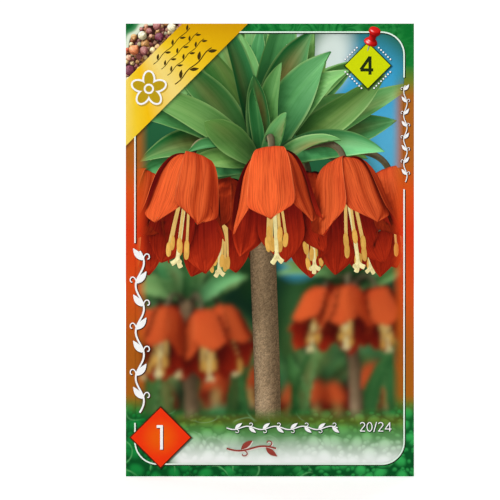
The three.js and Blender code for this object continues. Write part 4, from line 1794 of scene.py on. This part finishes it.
def crease_film(points, bulb_tree):
    """Pulls folds into the film where nothing holds it, from the bulb out to the seal."""
    rows, columns = points.shape[:2]
    random = np.random.default_rng(5)
    t = np.linspace(0, 1, rows)[:, None]
    turn = np.linspace(0, 2 * math.pi, columns, endpoint=False)[None, :]
    folds = np.zeros((rows, columns))
    for _ in range(FILM_FOLDS):
        middle = random.uniform(0, 2 * math.pi) + random.uniform(-0.35, 0.35) * t
        off = np.abs((turn - middle + math.pi) % (2 * math.pi) - math.pi)
        width = random.uniform(0.012, 0.05)
        reach = smooth(t, random.uniform(0.6, 1.0), random.uniform(0.0, 0.3))
        folds += random.uniform(0.25, 1.0) * np.exp(-((off / width) ** 2)) * reach
    ripple = 0.25 * np.sin(61 * turn + 5 * np.sin(3 * turn)) * smooth(t, 0.3, 0.02)
    along = np.gradient(points, axis=0)
    across = np.roll(points, -1, 1) - np.roll(points, 1, 1)
    normals = unit(np.cross(across, along))
    if np.sum(normals * (points - POUCH_MIDDLE)) < 0:
        normals = -normals
    depth = np.clip(folds + ripple, 0, 1.6)
    flat, slack = points.reshape(-1, 3), np.zeros(rows * columns)
    for i, p in enumerate(flat.tolist()):
        room = min(bulb_tree.find_nearest(p)[3] - BULB_GAP, (p[1] - BACK) * 0.45)
        slack[i] = min(max(room, 0.0) * 0.3, 1.3)
    return points - normals * (depth * slack.reshape(rows, columns))[..., None]


def cut_vents(points, quads):
    """Draws the dome's points that lie near a vent's rim onto it. Returns the faces outside all vents,
    and how white the film is at each point, which is most at those rims."""
    dome = points[:, 1] > DOME_Y
    keep = np.ones(len(quads), bool)
    for x, z in VENTS:
        off = np.hypot(points[:, 0] - x, points[:, 2] - z)
        near = dome & (np.abs(off - VENT_RADIUS) < 0.8)
        points[near, 0] = x + (points[near, 0] - x) * VENT_RADIUS / off[near]
        points[near, 2] = z + (points[near, 2] - z) * VENT_RADIUS / off[near]
        off = np.hypot(points[:, 0] - x, points[:, 2] - z)
        keep &= ~(dome & (off < VENT_RADIUS + 0.01))[quads].all(1)
    off = np.min([np.hypot(points[:, 0] - x, points[:, 2] - z) for x, z in VENTS], 0)
    return quads[keep], 0.4 * np.exp(-(((off - VENT_RADIUS) / 0.7) ** 2)) * dome


def make_pouch():
    """The film's dome over the bulb, and its seal: a ribbed band flat on the card's back."""
    inner = seal_loop(SEAL_INNER)
    tree = mesh_tree(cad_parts["film_pouch"].data)
    points = np.stack([meridian(edge, tree) for edge in inner], 1)
    points = crease_film(points, mesh_tree(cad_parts["bulb"].data))
    rows, columns = points.shape[:2]
    points = points.reshape(-1, 3)
    dome_faces, dome_veil = cut_vents(points, grid_faces(rows, columns, True))
    across = np.linspace(0, 1, 4 * SEAL_RIBS + 1)[:, None, None]
    band = seal_loop(SEAL_OUTER) * (1 - across) + inner * across
    ribs = SEAL_Y - 0.05 + 0.05 * np.cos(across[..., 0] * 2 * math.pi * SEAL_RIBS) + 0 * band[..., 0]
    band_faces = grid_faces(len(across), columns, True, len(points))
    points = np.concatenate([points, np.insert(band, 1, ribs, axis=-1).reshape(-1, 3)])
    faces = np.concatenate([dome_faces, band_faces])
    piece = make_piece("film_pouch_film", points, faces, film_material(), True)
    veil = np.concatenate([dome_veil, 0.05 + 2.0 * (SEAL_Y - ribs.ravel())])
    piece.data.attributes.new("veil", "FLOAT", "POINT").data.foreach_set("value", veil.astype(np.float32))
    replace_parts(piece, "film_pouch")


# ---------------------------------------------------------------- the bulb

BULB_AXIS = unit([0.152, 0.962, 0.225])
BULB_MIDDLE = np.array([-0.1, 0.5, 33.6])
SCALES = 5  # round the bulb, with a seam between each two
SEAM_WIDTH = 1.1
FLESH_STOPS = [
    (0.32, linear(214, 170, 104)),
    (0.46, linear(240, 216, 160)),
    (0.58, linear(250, 236, 196)),
    (0.72, linear(232, 198, 136)),
]


def bulb_material():
    """Pale flesh with flakes of brown papery skin, browner towards its top and in its seams."""
    material, g, shader = new_material("bulb_skin")
    place = g.place()
    fine = g.noise(place, 0.5, 5.0, 0.65)
    fibre = g.noise(g.vector("MULTIPLY", place, (1.0, 0.12, 1.0)), 0.9, 4.0, 0.6)
    flakes = g.noise(g.vector("ADD", place, (70.0, 0.0, 30.0)), 0.055, 5.0, 0.62, 1.0)
    top = g.step(g.vector("DOT_PRODUCT", place, tuple(BULB_AXIS)), 16.0, 27.0)
    skin = g.ramp(g.noise(place, 0.06, 4.0, 0.6, 0.8), FLESH_STOPS)
    paper = g.mix(g.step(fibre, 0.35, 0.65), linear(104, 64, 36), linear(196, 146, 94))
    for share, colour in (
        (g.step(flakes, 0.545, 0.575), paper),
        (g.times(g.step(fine, 0.6, 0.72), 0.6), linear(110, 68, 38)),
        (g.times(g.step(fibre, 0.55, 0.7), 0.35), linear(130, 84, 48)),
        (g.times(top, 0.35), linear(120, 78, 50)),
        (g.carried("groove", "Fac"), linear(108, 68, 36)),
    ):
        skin = g.mix(share, skin, colour)
    inputs = {
        "Base Color": skin,
        "Roughness": g.step(fine, 0.3, 0.7, 0.5, 0.78),
        "Normal": g.bump(g.plus(g.times(fine, 0.6), g.times(fibre, 0.5)), 0.6, 0.0008),
        "Subsurface Weight": 0.06,
        "Subsurface Radius": (0.004, 0.002, 0.001),
    }
    g.fill(shader, inputs)
    return material


def remeshed(source):
    """A copy of a mesh with even faces, a little softened."""
    scratch = bpy.data.objects.new("bulb_scratch", source.copy())
    SCENE.collection.objects.link(scratch)
    remesh = scratch.modifiers.new("remesh", "REMESH")
    remesh.mode = "VOXEL"
    remesh.voxel_size = 0.9 * MM
    soften = scratch.modifiers.new("soften", "SMOOTH")
    soften.factor = 0.5
    soften.iterations = 6
    mesh = bpy.data.meshes.new_from_object(scratch.evaluated_get(bpy.context.evaluated_depsgraph_get()))
    bpy.data.objects.remove(scratch)
    return mesh


def make_bulb():
    """The bulb with finer scales than its CAD body: seams, dents, pits and wrinkles, all inwards."""
    mesh = remeshed(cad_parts["bulb"].data)
    mesh.name = "bulb_body"
    grooves = []
    for vertex in mesh.vertices:
        p = vertex.co / MM
        off = np.array(p) - BULB_MIDDLE
        along = off @ BULB_AXIS
        off = off - along * BULB_AXIS
        turn = math.atan2(off[2], off[0]) / (2 * math.pi)
        wavy = 0.5 * math.sin(0.07 * along) + 0.3 * noise.noise(p * 0.05)
        seam = abs((SCALES * turn + wavy) % 1 - 0.5)
        seam = math.exp(-((seam * 2 * math.pi * np.linalg.norm(off) / SCALES / SEAM_WIDTH) ** 2))
        broad = noise.noise(p * 0.09) * 0.5 + 0.5
        wrinkle = abs(noise.noise(Vector((p.x * 0.5, along * 0.13, p.z * 0.5))))
        pit = max(0.0, noise.noise(p * 0.55 + Vector((9, 2, 4))) - 0.3)
        grooves.append(min(1.0, 0.65 * seam + 1.2 * pit))
        vertex.co -= vertex.normal * (0.05 + 0.55 * broad + 0.4 * wrinkle + 0.8 * pit + 0.9 * seam) * MM
    mesh.attributes.new("groove", "FLOAT", "POINT").data.foreach_set("value", grooves)
    mesh.materials.clear()
    bulb = shown("bulb_body", mesh, bulb_material())
    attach(bulb, "root")
    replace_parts(bulb, "bulb")


# ---------------------------------------------------------------- stage, light and camera

CAMERA_PLACE = Vector((-9.66, FRONT - 674.65, 110.0)) * MM
STAGE_RADIUS = 4.0
WALL_HEIGHT = 5.0


def make_camera():
    data = bpy.data.cameras.new("camera")
    data.lens = 100.0
    data.sensor_width = 36.0
    data.clip_end = 20.0
    camera = bpy.data.objects.new("camera", data)
    camera.location = CAMERA_PLACE
    camera.rotation_euler = (math.radians(90), 0, 0)
    SCENE.collection.objects.link(camera)
    SCENE.camera = camera


def white_surface(name, base, glow, far_glow):
    """A matt white, broken a little, with a light of its own that grows towards the far end."""
    material, g, shader = new_material(name)
    place = g.place()
    inputs = {
        "Base Color": g.mix(g.noise(place, 0.004), (base,) * 3, (base + 0.02,) * 3),
        "Roughness": 0.9,
        "Emission Color": (1.0, 1.0, 1.0),
        "Emission Strength": g.step(g.vector("LENGTH", place), 500.0, 1600.0, glow, far_glow),
    }
    g.fill(shader, inputs)
    return material


def add_stage_part(name, profile, material):
    """A round part of the stage, by its profile of (radius, height)."""
    count = 64
    around = np.linspace(0, 2 * math.pi, count, endpoint=False)
    points = [(r * math.cos(a), r * math.sin(a), z) for r, z in profile for a in around]
    mesh = bpy.data.meshes.new(name)
    mesh.from_pydata(points, [], grid_faces(len(profile), count, True).tolist())
    part = shown(name, mesh, material)
    return part


def make_stage():
    """A white floor, and a white wall all round it that lights nothing."""
    floor = [(0.001, 0.0), (1.0, 0.0), (STAGE_RADIUS, 0.0)]
    add_stage_part("floor", floor, white_surface("floor_white", 0.91, 0.52, 0.9))
    wall = [(STAGE_RADIUS - 0.01, -0.01), (STAGE_RADIUS - 0.01, WALL_HEIGHT)]
    wall = add_stage_part("wall", wall, white_surface("wall_white", 0.0, 1.05, 1.05))
    wall.visible_diffuse = False
    wall.visible_shadow = False


def add_light(name, place, aim, size, power):
    data = bpy.data.lights.new(name, "AREA")
    data.size = size
    data.energy = power
    lamp = bpy.data.objects.new(name, data)
    lamp.location = place
    lamp.rotation_euler = (Vector(aim) - Vector(place)).to_track_quat("-Z", "Y").to_euler()
    SCENE.collection.objects.link(lamp)


def make_lights():
    world = bpy.data.worlds.new("studio")
    world.use_nodes = True
    background = world.node_tree.nodes["Background"]
    background.inputs["Color"].default_value = (1.0, 1.0, 1.0, 1.0)
    background.inputs["Strength"].default_value = 0.32
    SCENE.world = world
    middle = (0.0, 0.0, HEIGHT / 2 * MM)
    add_light("key", (-1.5, -2.0, 1.8), middle, 1.5, 24.0)
    add_light("fill", (1.8, -1.9, 1.1), middle, 1.7, 10.0)
    add_light("back", (0.7, 1.6, 2.0), middle, 0.4, 7.0)
    add_light("edge", (-1.7, 1.3, 0.9), middle, 0.35, 3.5)
    SCENE.view_settings.view_transform = "Standard"


make_camera()
make_stage()
make_lights()
make_print()
make_stock()
make_pouch()
make_bulb()
